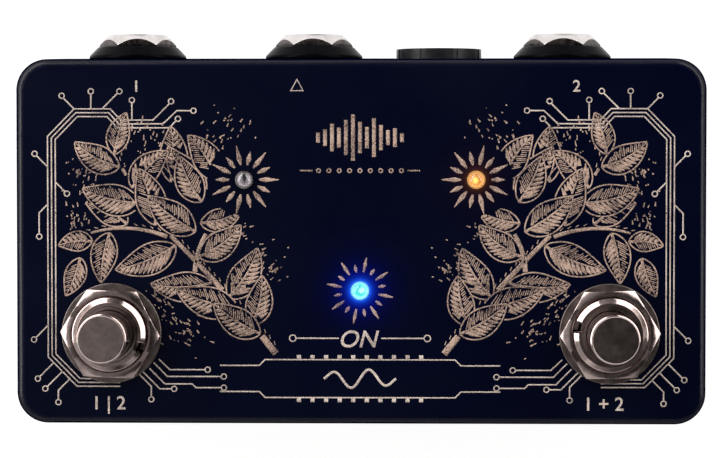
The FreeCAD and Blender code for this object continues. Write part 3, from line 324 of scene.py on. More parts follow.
smudges, entry, exit_sockets = new_group(
    "smudges",
    [("Size", FLOAT, SMUDGE_SIZE), ("Low", FLOAT, 0.1), ("High", FLOAT, 0.3)],
    [("Roughness", FLOAT), ("Tone", FLOAT)],
)
patch = noise(smudges, maths(smudges, "DIVIDE", 1.0, entry["Size"]), Detail=5.0, Roughness=0.62)
spread = remap(smudges, patch, *SMUDGE_RANGE)
span = maths(smudges, "SUBTRACT", entry["High"], entry["Low"])
rough = maths(smudges, "MULTIPLY_ADD", spread, span, entry["Low"])
smudges.links.new(rough, exit_sockets["Roughness"])
smudges.links.new(spread, exit_sockets["Tone"])


def smudged(tree, shader, colours, roughness, size):
    """Let a surface's colour and roughness vary in soft patches."""
    low, high = roughness
    patchy = node(tree, "Group", {"Size": size, "Low": low, "High": high}, node_tree=smudges).outputs
    tree.links.new(patchy["Roughness"], shader.inputs["Roughness"])
    tree.links.new(mixed_colour(tree, patchy["Tone"], *colours), shader.inputs["Base Color"])


def metal(name, colours, roughness, size=SMUDGE_SIZE):
    """Plated metal with uneven polish and faint tarnish."""
    material, tree, shader = new_material(name, Metallic=1.0)
    smudged(tree, shader, colours, roughness, size)
    return material


dress(metal("black_steel", SCREW_COLOURS, SCREW_ROUGHNESS), "base_plate_screws")

# Print: copper-tan ink laid over the coat, a few hundredths of a millimetre thick and broken up by the
# coat's grain, most of all where it covers a broad patch. Near the blue lamp it takes some of its light.
INK_HEIGHT = 0.03 * MM
INKS = {
    "broad": ((0.050, 0.034, 0.036, 1.0), (0.70, 0.50, 0.40, 1.0)),
    "fine": ((0.34, 0.28, 0.26, 1.0), (0.92, 0.78, 0.69, 1.0)),
}
INK_ROUGHNESS = 0.55
INK_SPECULAR = 0.3
INK_LIT = 0.8
INK_GRAIN_DEPTH = 0.01 * MM
SPECK_SIZE = 0.16 * MM
WORN_SCALE = 320.0
WORN_SHARE = 0.4
SPECK_RANGE = (0.56, 0.80)
CAPITAL_SHARE = 0.73
LETTER_SPREAD = 0.03 * MM
PRINT_UNIT = 0.995 * MM
face_low, face_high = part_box("enclosure")
FACE = Vector(((face_low.x + face_high.x) / 2, (face_low.y + face_high.y) / 2, face_high.z))

speckle, _, exit_sockets = new_group("speckle", [], [("Mask", FLOAT)])
fine = noise(speckle, 1.0 / SPECK_SIZE, Detail=3.0, Roughness=0.7)
worn = maths(speckle, "MULTIPLY_ADD", noise(speckle, WORN_SCALE, Detail=2.0), WORN_SHARE, fine)
speckle.links.new(remap(speckle, worn, *SPECK_RANGE), exit_sockets["Mask"])

ink_materials = {}
for name, colours in INKS.items():
    ink, tree, shader = new_material(name + "_ink", Roughness=INK_ROUGHNESS, Specular_IOR_Level=INK_SPECULAR)
    mask = node(tree, "Group", node_tree=speckle).outputs["Mask"]
    tree.links.new(mixed_colour(tree, mask, *colours), shader.inputs["Base Color"])
    spilled(tree, shader, INK_LIT)
    bumped(tree, shader, mask, INK_GRAIN_DEPTH)
    ink_materials[name] = ink


def line(points, width):
    """Stroke of even width through (x, y) points, in print units from the middle of the face."""
    return points, [width / 2] * len(points), False


def via(x, y, radius=0.42, width=0.2, steps=20):
    """Small ring at the end of a line."""
    turns = [2 * math.pi * step / steps for step in range(steps)]
    return [(x + radius * math.cos(a), y + radius * math.sin(a)) for a in turns], [width / 2] * steps, True


def mirrored(strokes):
    """The same strokes on the other half of the face."""
    return [([(-x, y) for x, y in points], radii, closed) for points, radii, closed in strokes]


def beside(points, gap):
    """The path that runs beside another at an even gap, on its right."""
    moved = []
    for index, (x, y) in enumerate(points):
        sides = []
        for one, other in ((index - 1, index), (index, index + 1)):
            if one >= 0 and other < len(points):
                along = Vector(points[other]) - Vector(points[one])
                sides.append(Vector((along.y, -along.x)).normalized())
        mean = sum(sides, Vector((0.0, 0.0))).normalized()
        reach = gap / mean.dot(sides[0])
        moved.append((x + mean.x * reach, y + mean.y * reach))
    return moved


def print_piece(name, strokes, letters=(), ink="fine"):
    """One printed mesh: strokes are drawn as a curve, flattened onto the face, and joined by letters."""
    drawing = bpy.data.curves.new(name, "CURVE")
    drawing.dimensions = "3D"
    drawing.twist_mode = "Z_UP"
    drawing.bevel_depth = PRINT_UNIT
    drawing.bevel_resolution = 1
    drawing.use_fill_caps = True
    for points, radii, closed in strokes:
        spline = drawing.splines.new("POLY")
        spline.points.add(len(points) - 1)
        spline.use_cyclic_u = closed
        for point, (x, y), radius in zip(spline.points, points, radii):
            point.co = (x * PRINT_UNIT, y * PRINT_UNIT, 0.0, 1.0)
            point.radius = radius
    holder = bpy.data.objects.new(name + "_drawing", drawing)
    bm = bmesh.new()
    bm.from_mesh(bpy.data.meshes.new_from_object(holder))
    bpy.data.objects.remove(holder)
    for vert in bm.verts:
        vert.co.z = max(-INK_HEIGHT, min(INK_HEIGHT, vert.co.z))
    for letter in letters:
        bm.from_mesh(letter)
    bmesh.ops.translate(bm, verts=bm.verts, vec=FACE)
    piece = placed(name, bm, ink_materials[ink])
    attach(piece, "housing")


def lettering(text, x, y, height, slant=0.0):
    """Flat mesh of a short word, centred on a place, with capitals of the given height."""
    word = bpy.data.curves.new("word", "FONT")
    word.body = text
    word.shear = slant
    word.size = height * MM / CAPITAL_SHARE
    word.extrude = INK_HEIGHT
    word.offset = LETTER_SPREAD
    holder = bpy.data.objects.new("word", word)
    mesh = bpy.data.meshes.new_from_object(holder)
    bpy.data.objects.remove(holder)
    xs = [vert.co.x for vert in mesh.vertices]
    middle = (max(xs) + min(xs)) / 2
    mesh.transform(Matrix.Translation((x * PRINT_UNIT - middle, (y - height / 2) * PRINT_UNIT, 0.0)))
    return mesh


# Border print: three parallel lines round each end of the face, like the tracks of a circuit board, that
# turn in at 45 degrees and end in small rings. The right end mirrors the left.
TRACK = 0.24
TRACK_GAP = 0.62
outer_track = [(-33.2, 19.5), (-38.4, 19.5), (-40.1, 21.3), (-45.9, 21.3), (-50.2, 16.9), (-50.2, -18.6),
               (-45.6, -23.3), (-38.6, -23.3)]
tracks = [outer_track, beside(outer_track, -TRACK_GAP), beside(outer_track, -2 * TRACK_GAP)]
tails = [
    ([(-33.2, 19.5), (-30.6, 22.1)], (-30.3, 22.5)),
    ([(-33.0, 18.9), (-31.6, 18.9), (-29.4, 21.0), (-27.2, 21.0)], (-26.7, 21.0)),
    ([(-32.6, 18.26), (-30.6, 18.26), (-29.6, 19.3)], (-29.2, 19.7)),
]
border = []
for track, (tail, end) in zip(tracks, tails):
    border.append(line([*reversed(tail), *track[1:]], TRACK))
    border.append(via(*end))
spurs = [
    ([(-45.9, 21.3), (-47.6, 23.0)], (-47.9, 23.4)),
    ([(-43.2, 21.3), (-43.2, 23.6)], (-43.2, 24.1)),
    ([(-50.2, 12.0), (-52.0, 13.8)], (-52.3, 14.1)),
    ([(-50.2, 6.0), (-51.6, 4.6), (-51.6, 1.2)], (-51.6, 0.8)),
    ([(-48.9, 9.5), (-47.4, 8.0)], (-47.1, 7.7)),
    ([(-50.2, -13.5), (-52.2, -15.5)], (-52.5, -15.8)),
    ([(-49.3, -19.5), (-51.6, -21.8)], (-51.9, -22.1)),
    ([(-47.9, -20.9), (-50.4, -23.4)], (-50.7, -23.7)),
    ([(-46.7, -22.1), (-48.6, -24.0), (-48.6, -25.4)], (-48.6, -25.9)),
    ([(-41.4, 21.3), (-38.9, 23.8)], (-38.6, 24.1)),
    ([(-36.6, 19.5), (-36.6, 22.2)], (-36.6, 22.7)),
    ([(-35.6, -21.3), (-33.6, -23.3), (-33.6, -24.9)], (-33.6, -25.4)),
    ([(-35.0, -20.9), (-32.2, -23.7), (-30.4, -23.7)], (-29.9, -23.7)),
    ([(-33.9, -20.4), (-31.4, -22.9), (-27.0, -22.9), (-26.4, -23.5), (-22.4, -23.5)], (-21.9, -23.5)),
    ([(-33.2, -19.5), (-31.0, -21.7), (-22.4, -21.7)], (-21.9, -21.7)),
    ([(-32.4, -18.9), (-30.6, -20.6), (-25.0, -20.6)], (-24.5, -20.6)),
]
for points, end in spurs:
    border.append(line(points, TRACK))
    border.append(via(*end))
print_piece("border_print", border + mirrored(border))

# Cartouche and labels: a long panel of two lines between the switches with a row of small blocks above
# and below it, a sine wave in it, and plain numbers and signs at the sockets and switches.
PANEL_HALF = 22.5
PANEL_BUMP = 16.2
PANEL_TOP = -19.9
PANEL_BOTTOM = -24.1
PANEL_RISE = 0.95
BLOCKS = 10
BLOCK_PITCH = 2.18
BLOCK_SIZE = 0.66
BLOCK_SHIFT = 1.45
SINE_HALF = 5.8
SINE_HEIGHT = 1.5
SINE_TAPER = 0.35
SINE_STEPS = 48
SINE_STROKE = 0.42
RULE_Y = -15.5
RULE_START = 3.4
RULE_END = 10.3
RULE_VIA = 10.8
TRIANGLE = [(-11.1, 24.2), (-9.1, 24.2), (-10.1, 26.0)]
TRIANGLE_STROKE = 0.3
SOCKET_LETTER = 1.9
SWITCH_LETTER = 2.2
LAMP_LETTER = 2.8
panel = []
for y, rise in ((PANEL_TOP, PANEL_RISE), (PANEL_BOTTOM, -PANEL_RISE)):
    inner = PANEL_BUMP - PANEL_RISE
    outline = [(-PANEL_HALF, y), (-PANEL_BUMP, y), (-inner, y + rise), (inner, y + rise),
               (PANEL_BUMP, y), (PANEL_HALF, y)]
    panel.append(line(outline, TRACK))
    block_y = y + BLOCK_SHIFT * rise
    for step in range(BLOCKS):
        x = (step - (BLOCKS - 1) / 2) * BLOCK_PITCH
        panel.append(line([(x - BLOCK_SIZE / 2, block_y), (x + BLOCK_SIZE / 2, block_y)], BLOCK_SIZE))
sine = []
for step in range(SINE_STEPS + 1):
    share = step / SINE_STEPS
    swing = math.sin(4 * math.pi * share) * math.sin(math.pi * share) ** SINE_TAPER
    sine.append(((2 * share - 1) * SINE_HALF, (PANEL_TOP + PANEL_BOTTOM) / 2 + SINE_HEIGHT * swing))
panel.append(line(sine, SINE_STROKE))
for sign in (-1, 1):
    panel.append(line([(sign * RULE_START, RULE_Y), (sign * RULE_END, RULE_Y)], TRACK))
    panel.append(via(sign * RULE_VIA, RULE_Y, radius=0.52))
panel.append((TRIANGLE, [TRIANGLE_STROKE / 2] * len(TRIANGLE), True))
words = [
    lettering("1", -35.9, 25.0, SOCKET_LETTER),
    lettering("2", 34.6, 25.0, SOCKET_LETTER),
    lettering("1 | 2", -40.2, -25.9, SWITCH_LETTER),
    lettering("1 + 2", 39.3, -25.9, SWITCH_LETTER),
    lettering("ON", 0.0, RULE_Y, LAMP_LETTER, slant=0.25),
]
print_piece("panel_print", panel, words)

# Waveform print: a row of upright bars at the rear of the face, like a sound wave's envelope, over a thin
# row of rings, and rays round the middle lamp.
WAVE_Y = 16.7
WAVE_PITCH = 1.12
WAVE_BAR = 0.62
WAVE_HEIGHTS = [1.6, 2.6, 4.4, 3.2, 5.6, 7.4, 5.0, 3.4, 6.2, 4.0, 2.4, 3.0, 1.4]
DOTS = 9
DOT_PITCH = 1.66
DOT_RADIUS = 0.3
DOT_STROKE = 0.22
DOT_Y = 11.4
DASH_ENDS = (9.6, 7.6)
CENTRE_RAYS = 16
CENTRE_RAY_ENDS = ((3.0, 3.6, 4.2), (3.0, 4.2, 5.4))
CENTRE_RAY_RADII = (0.13, 0.3, 0.08)


def sunburst(lamp, count, turn, ends, radii):
    """Rays round a lamp, each through three distances from it. Even and odd rays have their own."""
    x, y = (lamp_centres[lamp].xy - FACE.xy) / PRINT_UNIT
    strokes = []
    for step in range(count):
        angle = 2 * math.pi * (step + turn) / count
        points = [(x + reach * math.cos(angle), y + reach * math.sin(angle)) for reach in ends[step % 2]]
        strokes.append((points, radii, False))
    return strokes


wave = []
for step, tall in enumerate(WAVE_HEIGHTS):
    x = (step - (len(WAVE_HEIGHTS) - 1) / 2) * WAVE_PITCH
    wave.append(line([(x, WAVE_Y - tall / 2), (x, WAVE_Y + tall / 2)], WAVE_BAR))
for step in range(DOTS):
    wave.append(via((step - (DOTS - 1) / 2) * DOT_PITCH, DOT_Y, radius=DOT_RADIUS, width=DOT_STROKE))
for sign in (-1, 1):
    wave.append(line([(sign * x, DOT_Y) for x in DASH_ENDS], TRACK))
wave += sunburst("centre", CENTRE_RAYS, 0.5, CENTRE_RAY_ENDS, CENTRE_RAY_RADII)
print_piece("wave_print", wave, ink="broad")

# Leaf print: an engraved spray of leaves on each side of the face that curves round the side lamp, with
# solid strokes on the lit half of each leaf, thin hatching on the other, and stipple around them.
DRAWING_SEED = 11
LEAF_STEPS = 24
LEAF_BELLY = 0.8
LEAF_TIP = 0.85
MIDRIB_RADII = (0.24, 0.08)
RIM_RADIUS = 0.12
VEIN_GAP = 0.76
VEIN_SWEEP = 0.2
VEIN_LEAST = 0.06
VEIN_FAT = 0.34
VEIN_FULL = 1.1
VEIN_WOBBLE = (0.85, 1.0)
VEIN_ELBOW = (0.4, 0.42)
VEIN_TIP = 0.9
VEIN_END_RADII = (0.14, 0.09)
HATCH_STARTS = (0.08, 0.3)
HATCH_ENDS = (0.55, 0.95)
HATCH_RADII = (0.1, 0.06)
STEM_STEP = 1.2
TICK_GAP = 0.25
TICK_REACH = (0.25, 0.6)
DASH_TURN = 25.0
DASH_LENGTH = (0.1, 0.75)
DASH_RADIUS = (0.09, 0.17)
DASH_END_RADIUS = 0.07
CLEARING = 5.9
SIDE_RAYS = 14
SIDE_RAY_ENDS = ((2.4, 3.4, 5.6), (2.4, 3.4, 4.6))
SIDE_RAY_RADII = (0.14, 0.42, 0.07)
draw = random.Random(DRAWING_SEED)


def arc_point(start, angle, length, bend, share):
    """Place and heading at a share of the way along a bent stroke."""
    heading = angle + bend * share
    radius = length / bend
    step = Vector((math.sin(heading) - math.sin(angle), math.cos(angle) - math.cos(heading)))
    return Vector(start) + step * radius, heading


def inside(point, outline):
    """Whether a point lies within a closed outline."""
    x, y = point
    within = False
    for (x0, y0), (x1, y1) in zip(outline, outline[1:] + outline[:1]):
        if (y0 > y) != (y1 > y) and x < x0 + (y - y0) * (x1 - x0) / (y1 - y0):
            within = not within
    return within


def uncovered(strokes, outlines):
    """The parts of strokes that none of the outlines hides."""
    kept = []
    for points, radii, closed in strokes:
        run = []
        for point, radius in zip(points, radii):
            if any(inside(point, outline) for outline in outlines):
                if len(run) > 1:
                    kept.append((*zip(*run), False))
                run = []
            else:
                run.append((point, radius))
        if len(run) == len(points):
            kept.append((points, radii, closed))
        elif len(run) > 1:
            kept.append((*zip(*run), False))
    return kept


def leaf(start, degrees, length, width, bend_degrees, lit):
    """Outline and strokes of one leaf: midrib, edges, broad veins on the lit side and fine hatching on the
    other."""
    angle, bend = math.radians(degrees), math.radians(bend_degrees)

    def half(share):
        """Half the leaf's width at a share of its length."""
        along = min(share, 1.0) ** LEAF_BELLY
        return width / 2 * math.sin(math.pi * along) ** LEAF_TIP

    def at(share, side=0.0):
        """Place at a share of the leaf's length and of its half width."""
        place, heading = arc_point(start, angle, length, bend, share)
        normal = Vector((-math.sin(heading), math.cos(heading)))
        return tuple(place + normal * side * half(share))

    shares = [step / LEAF_STEPS for step in range(LEAF_STEPS + 1)]
    rims = {side: [at(share, side) for share in shares] for side in (-1, 1)}
    foot, tip = MIDRIB_RADII
    strokes = [([at(share) for share in shares], [foot + (tip - foot) * share for share in shares], False)]
    strokes += [(rim, [RIM_RADIUS] * len(rim), False) for rim in rims.values()]
    count = int(length / VEIN_GAP)
    for step in range(1, count - 1):
        share = step / count
        reach = VEIN_SWEEP * (1 - share) + VEIN_LEAST
        fat = VEIN_FAT * min(1.0, half(share) / VEIN_FULL)
        wobble = draw.uniform(*VEIN_WOBBLE)
        tip = at(share + reach * wobble, lit * VEIN_TIP * wobble)
        elbow = at(share + reach * VEIN_ELBOW[0], lit * VEIN_ELBOW[1])
        strokes.append(([at(share), elbow, tip], [VEIN_END_RADII[0], fat, VEIN_END_RADII[1]], False))
        for part in (0.0, 0.5):
            now = (step + part) / count
            ends = draw.uniform(*HATCH_STARTS), draw.uniform(*HATCH_ENDS)
            strokes.append(([at(now + reach * end, -lit * end) for end in ends], HATCH_RADII, False))
    return rims[1] + rims[-1][::-1], strokes


def stem(start, degrees, length, bend_degrees, thick, thin):
    """Tapering stem with a row of short strokes down one side."""
    angle, bend = math.radians(degrees), math.radians(bend_degrees)
    steps = int(length / STEM_STEP)
    places = [arc_point(start, angle, length, bend, step / steps) for step in range(steps + 1)]
    radii = [(thick + (thin - thick) * step / steps) / 2 for step in range(steps + 1)]
    strokes = [([tuple(place) for place, _ in places], radii, False)]
    out, on = TICK_REACH
    for (place, heading), radius in zip(places[1:-1], radii[1:-1]):
        normal = Vector((-math.sin(heading), math.cos(heading)))
        along = Vector((math.cos(heading), math.sin(heading)))
        foot = place - normal * (radius + TICK_GAP)
        strokes.append(([tuple(foot), tuple(foot - normal * out + along * on)], HATCH_RADII, False))
    return strokes


def stipple(x, y, spread, count, degrees):
    """Short seeded dashes that thin out from a place."""
    strokes = []
    for _ in range(count):
        dash_x = x + draw.gauss(0, spread)
        dash_y = y + draw.gauss(0, spread)
        angle = math.radians(degrees + draw.uniform(-DASH_TURN, DASH_TURN))
        length = draw.uniform(*DASH_LENGTH)
        end = (dash_x + length * math.cos(angle), dash_y + length * math.sin(angle))
        strokes.append(([(dash_x, dash_y), end], [draw.uniform(*DASH_RADIUS), DASH_END_RADIUS], False))
    return strokes


STEMS = [
    ((-13.5, -18.0), 128, 34.0, 10, 1.1, 0.5), ((-26.5, -4.8), 88, 14.0, -62, 0.8, 0.35),
    ((-31.0, 0.8), 158, 15.0, 46, 0.7, 0.3), ((-36.5, 8.5), 112, 8.5, 24, 0.6, 0.3),
]
LEAVES = [
    (-16.0, -14.8, 158, 9.0, 4.6, -22, 1), (-17.3, -13.4, 66, 8.2, 4.2, 26, -1),
    (-19.6, -10.6, 176, 10.5, 5.0, -26, 1), (-21.2, -9.0, 44, 9.4, 4.8, 30, -1),
    (-23.8, -6.6, 196, 10.0, 4.8, -30, 1), (-25.9, -2.4, 20, 8.6, 4.4, 34, -1),
    (-26.4, 1.6, 152, 9.6, 5.0, -18, 1), (-25.6, 3.0, 2, 7.0, 3.6, 30, -1),
    (-25.4, 6.4, 128, 8.2, 4.4, -24, 1), (-29.6, -0.6, 214, 10.6, 5.0, -24, 1),
    (-32.8, 2.6, 96, 9.6, 4.8, 22, -1), (-35.2, 6.2, 180, 9.8, 5.0, -28, 1),
    (-36.6, 8.6, 60, 8.4, 4.4, -30, 1), (-38.6, 12.0, 168, 8.4, 4.4, -34, 1),
    (-39.4, 14.0, 84, 7.0, 3.6, -20, -1), (-37.4, 2.8, 140, 7.6, 4.0, 26, -1),
    (-40.2, 1.4, 250, 8.2, 4.2, 20, 1), (-43.0, 0.0, 172, 5.6, 3.2, 30, -1),
    (-22.8, 9.6, 108, 9.0, 4.6, 30, -1), (-24.6, 8.4, 150, 9.4, 4.6, -36, 1),
    (-30.4, 9.6, 78, 9.0, 4.6, 24, -1), (-45.0, -2.6, 258, 6.6, 3.4, -18, 1),
]
STIPPLES = [
    (-22.0, 17.0, 2.2, 40, 60), (-44.0, 10.0, 1.8, 46, 70), (-31.0, -10.5, 1.8, 50, 130),
    (-15.0, -4.5, 1.6, 40, 40), (-34.5, 16.4, 1.8, 40, 90), (-27.5, -14.6, 1.6, 36, 140),
    (-20.0, 1.0, 1.5, 30, 30), (-46.0, 4.0, 1.2, 30, 90),
]
lamp_x, lamp_y = (lamp_centres["left"].xy - FACE.xy) / PRINT_UNIT
covers = [via(lamp_x, lamp_y, radius=CLEARING)[0]]
spray = []
for x, y, degrees, length, width, bend_degrees, lit in LEAVES:
    outline, strokes = leaf((x, y), degrees, length, width, bend_degrees, lit)
    spray += uncovered(strokes, covers)
    covers.append(outline)
for place in STEMS:
    spray += uncovered(stem(*place), covers)
spray += sunburst("left", SIDE_RAYS, 0.0, SIDE_RAY_ENDS, SIDE_RAY_RADII)
for patch in STIPPLES:
    spray += uncovered(stipple(*patch), covers)
print_piece("left_leaf_print", spray, ink="broad")
print_piece("right_leaf_print", mirrored(spray), ink="broad")

# Foot switch: a nickel-plated push button in a threaded bush, with a hexagon nut and a flat washer on the
# box. The round parts are turned, so they are spun here; the nut's bevel leaves an arch on each flat. The
# edges are given as (radius, drop below the top).
NICKEL = ((0.42, 0.335, 0.32, 1.0), (0.60, 0.49, 0.465, 1.0))
WASHER_NICKEL = ((0.19, 0.155, 0.147, 1.0), (0.31, 0.26, 0.245, 1.0))
TURNED_PATCH = 1.6 * MM
MARK_PITCH = 0.12 * MM
MARK_DEPTH = 0.001 * MM
LATHE_STEPS = 96
WELD = 0.001 * MM
WASHER_BAND = 1.8
WASHER_ROUND = 0.16
STEM_RADIUS = 1.5
COLLAR_RADIUS = 4.7
COLLAR_DROPS = (4.2, 3.1)
SHAFT_RADIUS = 3.85
CAP_EDGE = [(3.85, 1.14), (3.83, 1.08), (3.7, 1.0), (3.67, 0.2), (3.59, 0.06), (3.54, 0.015), (3.5, 0.0)]
BUSH_RADIUS = 5.88
BUSH_BORE = 5.0
BUSH_TOP_LENGTH = 3.4
BUSH_NECK = [(5.0, 3.0), (3.93, 3.0), (3.93, 0.08), (4.01, 0.0)]
BUSH_TOOL_RING = [(4.4, 0.0), (4.46, 0.08), (4.52, 0.0)]
BUSH_GROOVE = [(4.92, 0.0), (4.92, 0.3), (5.07, 0.3), (5.07, 0.03), (5.12, 0.0)]
BUSH_BEVEL = [(5.15, 0.02), (5.73, 0.43), (5.76, 0.45), (5.86, 0.5)]
THREAD_START = 0.56
THREAD_PITCH = 0.75
THREAD_CREST = 0.12
THREAD_DEPTH = 0.35
KEYWAY_TURNS = {"left": -22.0, "right": 166.0}
KEYWAY_WIDTH = 1.7
KEYWAY_FLOOR = 4.5
NUT_FLATS = 13.8
NUT_BORE_RADIUS = 5.98
NUT_LEAD = 0.16
NUT_FACE_RADIUS = 6.86
NUT_SLOPE = 30.0
NUT_ROUND = 0.04
NUT_TURNS = {"left": -2.5, "right": 1.6}
NUT_SIDE_STEPS = 18
switch_low, switch_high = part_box("right_outer_washer")
switch_centre = (switch_low + switch_high) / 2

machined, _, exit_sockets = new_group("machined", [], [("Height", FLOAT)])
parts = node(machined, "SeparateXYZ", {0: node(machined, "TexCoord").outputs["Object"]}).outputs
either_side = maths(machined, "ABSOLUTE", parts["X"])
folded = node(machined, "CombineXYZ", {0: either_side, 1: parts["Y"]}).outputs[0]
axis = (switch_centre.x, switch_centre.y, 0.0)
radius = node(machined, "VectorMath", {0: folded, 1: axis}, operation="DISTANCE").outputs["Value"]
rows = maths(machined, "DIVIDE", radius, MARK_PITCH)
ridge = node(machined, "TexNoise", {"W": rows, "Scale": 1.0, "Detail": 2.0}, noise_dimensions="1D")
machined.links.new(ridge.outputs[0], exit_sockets["Height"])


def turned_nickel(name, roughness, colours=NICKEL):
    """Nickel with faint lathe marks round the switch's axis."""
    material, tree, shader = new_material(name, Metallic=1.0)
    smudged(tree, shader, colours, roughness, TURNED_PATCH)
    marks = node(tree, "Group", node_tree=machined).outputs["Height"]
    bumped(tree, shader, marks, MARK_DEPTH)
    return material


def lathe(profile, steps=LATHE_STEPS, closed=True):
    """Spin an outline of (radius, height) points in mm a full turn about Z."""
    bm = bmesh.new()
    points = [bm.verts.new((radius * MM, 0.0, height * MM)) for radius, height in profile]
    pairs = list(zip(points, points[1:]))
    if closed:
        pairs.append((points[-1], points[0]))
    edges = [bm.edges.new(pair) for pair in pairs]
    bmesh.ops.spin(bm, geom=points + edges, cent=(0, 0, 0), axis=(0, 0, 1), angle=2 * math.pi,
                   steps=steps, use_merge=True)
    bmesh.ops.remove_doubles(bm, verts=bm.verts, dist=WELD / 2)
    bmesh.ops.recalc_face_normals(bm, faces=bm.faces)
    return bm


def soften(bm, width, segments=2, degrees=25.0):
    """Round every edge that is sharper than an angle."""
    sharp = [e for e in bm.edges if e.is_manifold and e.calc_face_angle() > math.radians(degrees)]
    bmesh.ops.bevel(bm, geom=sharp, offset=width * MM, offset_type="OFFSET", segments=segments, profile=0.5,
                    affect="EDGES", material=-1, clamp_overlap=True)


def finished(name, bm, material, slot, body, *nodes, smooth_degrees=40.0):
    """Make the object, with smooth shading up to an angle, and let it stand for its CAD nodes."""
    bmesh.ops.recalc_face_normals(bm, faces=bm.faces)
    for face in bm.faces:
        face.smooth = True
    for edge in bm.edges:
        edge.smooth = edge.is_manifold and edge.calc_face_angle() < math.radians(smooth_degrees)
    piece = placed(name, bm, material)
    even = piece.modifiers.new("even_shading", "WEIGHTED_NORMAL")
    even.keep_sharp = True
    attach(piece, body)
    if nodes:
        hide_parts(*nodes)
    return piece


def hex_nut(flats, bore, lead, face, slope, height):
    """Hexagon nut about Z, standing on Z = 0, whose upper corners are turned off by a cone. The bore opens
    with a lead-in."""
    corner = flats / 2 / math.cos(math.pi / 6)
    bm = lathe([(bore, 0.0), (bore, height - lead), (bore + lead, height), (face, height),
                (corner, height), (corner, 0.0)], steps=6 * NUT_SIDE_STEPS)
    for vert in bm.verts:
        radius = vert.co.xy.length / MM
        if radius > (face + corner) / 2:
            angle = math.atan2(vert.co.y, vert.co.x) % (math.pi / 3) - math.pi / 6
            edge = flats / 2 / math.cos(angle)
            vert.co.xy *= edge / radius
            if vert.co.z > 0:
                vert.co.z = (height - (edge - face) * math.tan(math.radians(slope))) * MM
    return bm


def merged_copy(name):
    """Copy of a node of the frame, in place, with the seams between its faces closed."""
    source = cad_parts[name]
    bm = bmesh.new()
    bm.from_mesh(source.data)
    bm.transform(source.matrix_world)
    bmesh.ops.remove_doubles(bm, verts=bm.verts, dist=WELD)
    return bm


cap_nickel = turned_nickel("cap_nickel", (0.10, 0.2))
washer_nickel = turned_nickel("washer_nickel", (0.28, 0.4), WASHER_NICKEL)
nut_nickel = turned_nickel("nut_nickel", (0.15, 0.26))
bush_nickel = turned_nickel("bush_nickel", (0.08, 0.16))
for side in ("left", "right"):
    low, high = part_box(side + "_outer_washer")
    centre = Vector(((low.x + high.x) / 2, (low.y + high.y) / 2, 0.0))
    radius = (high.x - low.x) / 2 / MM
    inner = radius - WASHER_BAND
    bm = lathe([(inner, low.z / MM), (radius, low.z / MM), (radius, high.z / MM), (inner, high.z / MM)])
    soften(bm, WASHER_ROUND, segments=3)
    bmesh.ops.translate(bm, verts=bm.verts, vec=centre)
    finished(side + "_washer", bm, washer_nickel, "switch_chrome", "housing", side + "_outer_washer")

    low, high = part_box(side + "_outer_nut")
    bm = hex_nut(NUT_FLATS, NUT_BORE_RADIUS, NUT_LEAD, NUT_FACE_RADIUS, NUT_SLOPE, (high.z - low.z) / MM)
    soften(bm, NUT_ROUND)
    turn = Matrix.Rotation(math.radians(NUT_TURNS[side]), 4, "Z")
    place = Matrix.Translation(centre + Vector((0, 0, low.z))) @ turn
    bmesh.ops.transform(bm, verts=bm.verts, matrix=place)
    finished(side + "_hex_nut", bm, nut_nickel, "switch_chrome", "housing", side + "_outer_nut")

    low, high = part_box(side + "_button")
    bottom, top = low.z / MM, high.z / MM
    bush_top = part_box(side + "_bush")[1].z / MM
    collar_low, collar_high = [bush_top - drop for drop in COLLAR_DROPS]
    profile = [
        (0.0, bottom), (STEM_RADIUS, bottom), (STEM_RADIUS, collar_low), (COLLAR_RADIUS, collar_low),
        (COLLAR_RADIUS, collar_high), (SHAFT_RADIUS, collar_high),
        *[(radius, top - drop) for radius, drop in CAP_EDGE], (0.0, top),
    ]
    bm = lathe(profile, closed=False)
    bmesh.ops.translate(bm, verts=bm.verts, vec=centre)
    finished(side + "_cap", bm, cap_nickel, "switch_chrome", side + "_push_button", side + "_button",
             smooth_degrees=20.0)

    seam = bush_top - BUSH_TOP_LENGTH
    edges = BUSH_NECK + BUSH_TOOL_RING + BUSH_GROOVE + BUSH_BEVEL
    profile = [(BUSH_BORE, seam), *[(radius, bush_top - drop) for radius, drop in edges]]
    for step in range(int((BUSH_TOP_LENGTH - THREAD_START) / THREAD_PITCH)):
        crest = bush_top - THREAD_START - step * THREAD_PITCH
        profile += [(BUSH_RADIUS, crest), (BUSH_RADIUS, crest - THREAD_CREST),
                    (BUSH_RADIUS - THREAD_DEPTH, crest - THREAD_PITCH / 2)]
    profile.append((BUSH_RADIUS, seam))
    bm = lathe(profile, steps=2 * LATHE_STEPS)
    slot_turn = math.radians(KEYWAY_TURNS[side])
    for vert in bm.verts:
        along = vert.co.x * math.cos(slot_turn) + vert.co.y * math.sin(slot_turn)
        across = vert.co.y * math.cos(slot_turn) - vert.co.x * math.sin(slot_turn)
        if along > KEYWAY_FLOOR * MM and abs(across) < KEYWAY_WIDTH / 2 * MM:
            vert.co.xy *= KEYWAY_FLOOR * MM / along
    bmesh.ops.remove_doubles(bm, verts=bm.verts, dist=WELD)
    bmesh.ops.translate(bm, verts=bm.verts, vec=centre)
    lower = merged_copy(side + "_bush")
    bmesh.ops.bisect_plane(lower, geom=[*lower.verts, *lower.edges, *lower.faces],
                           plane_co=(0, 0, seam * MM), plane_no=(0, 0, 1), clear_outer=True)
    lower_mesh = bpy.data.meshes.new(side + "_lower_bush")
    lower.to_mesh(lower_mesh)
    lower.free()
    bm.from_mesh(lower_mesh)
    finished(side + "_threaded_bush", bm, bush_nickel, "switch_chrome", "housing", side + "_bush",
             smooth_degrees=22.0)

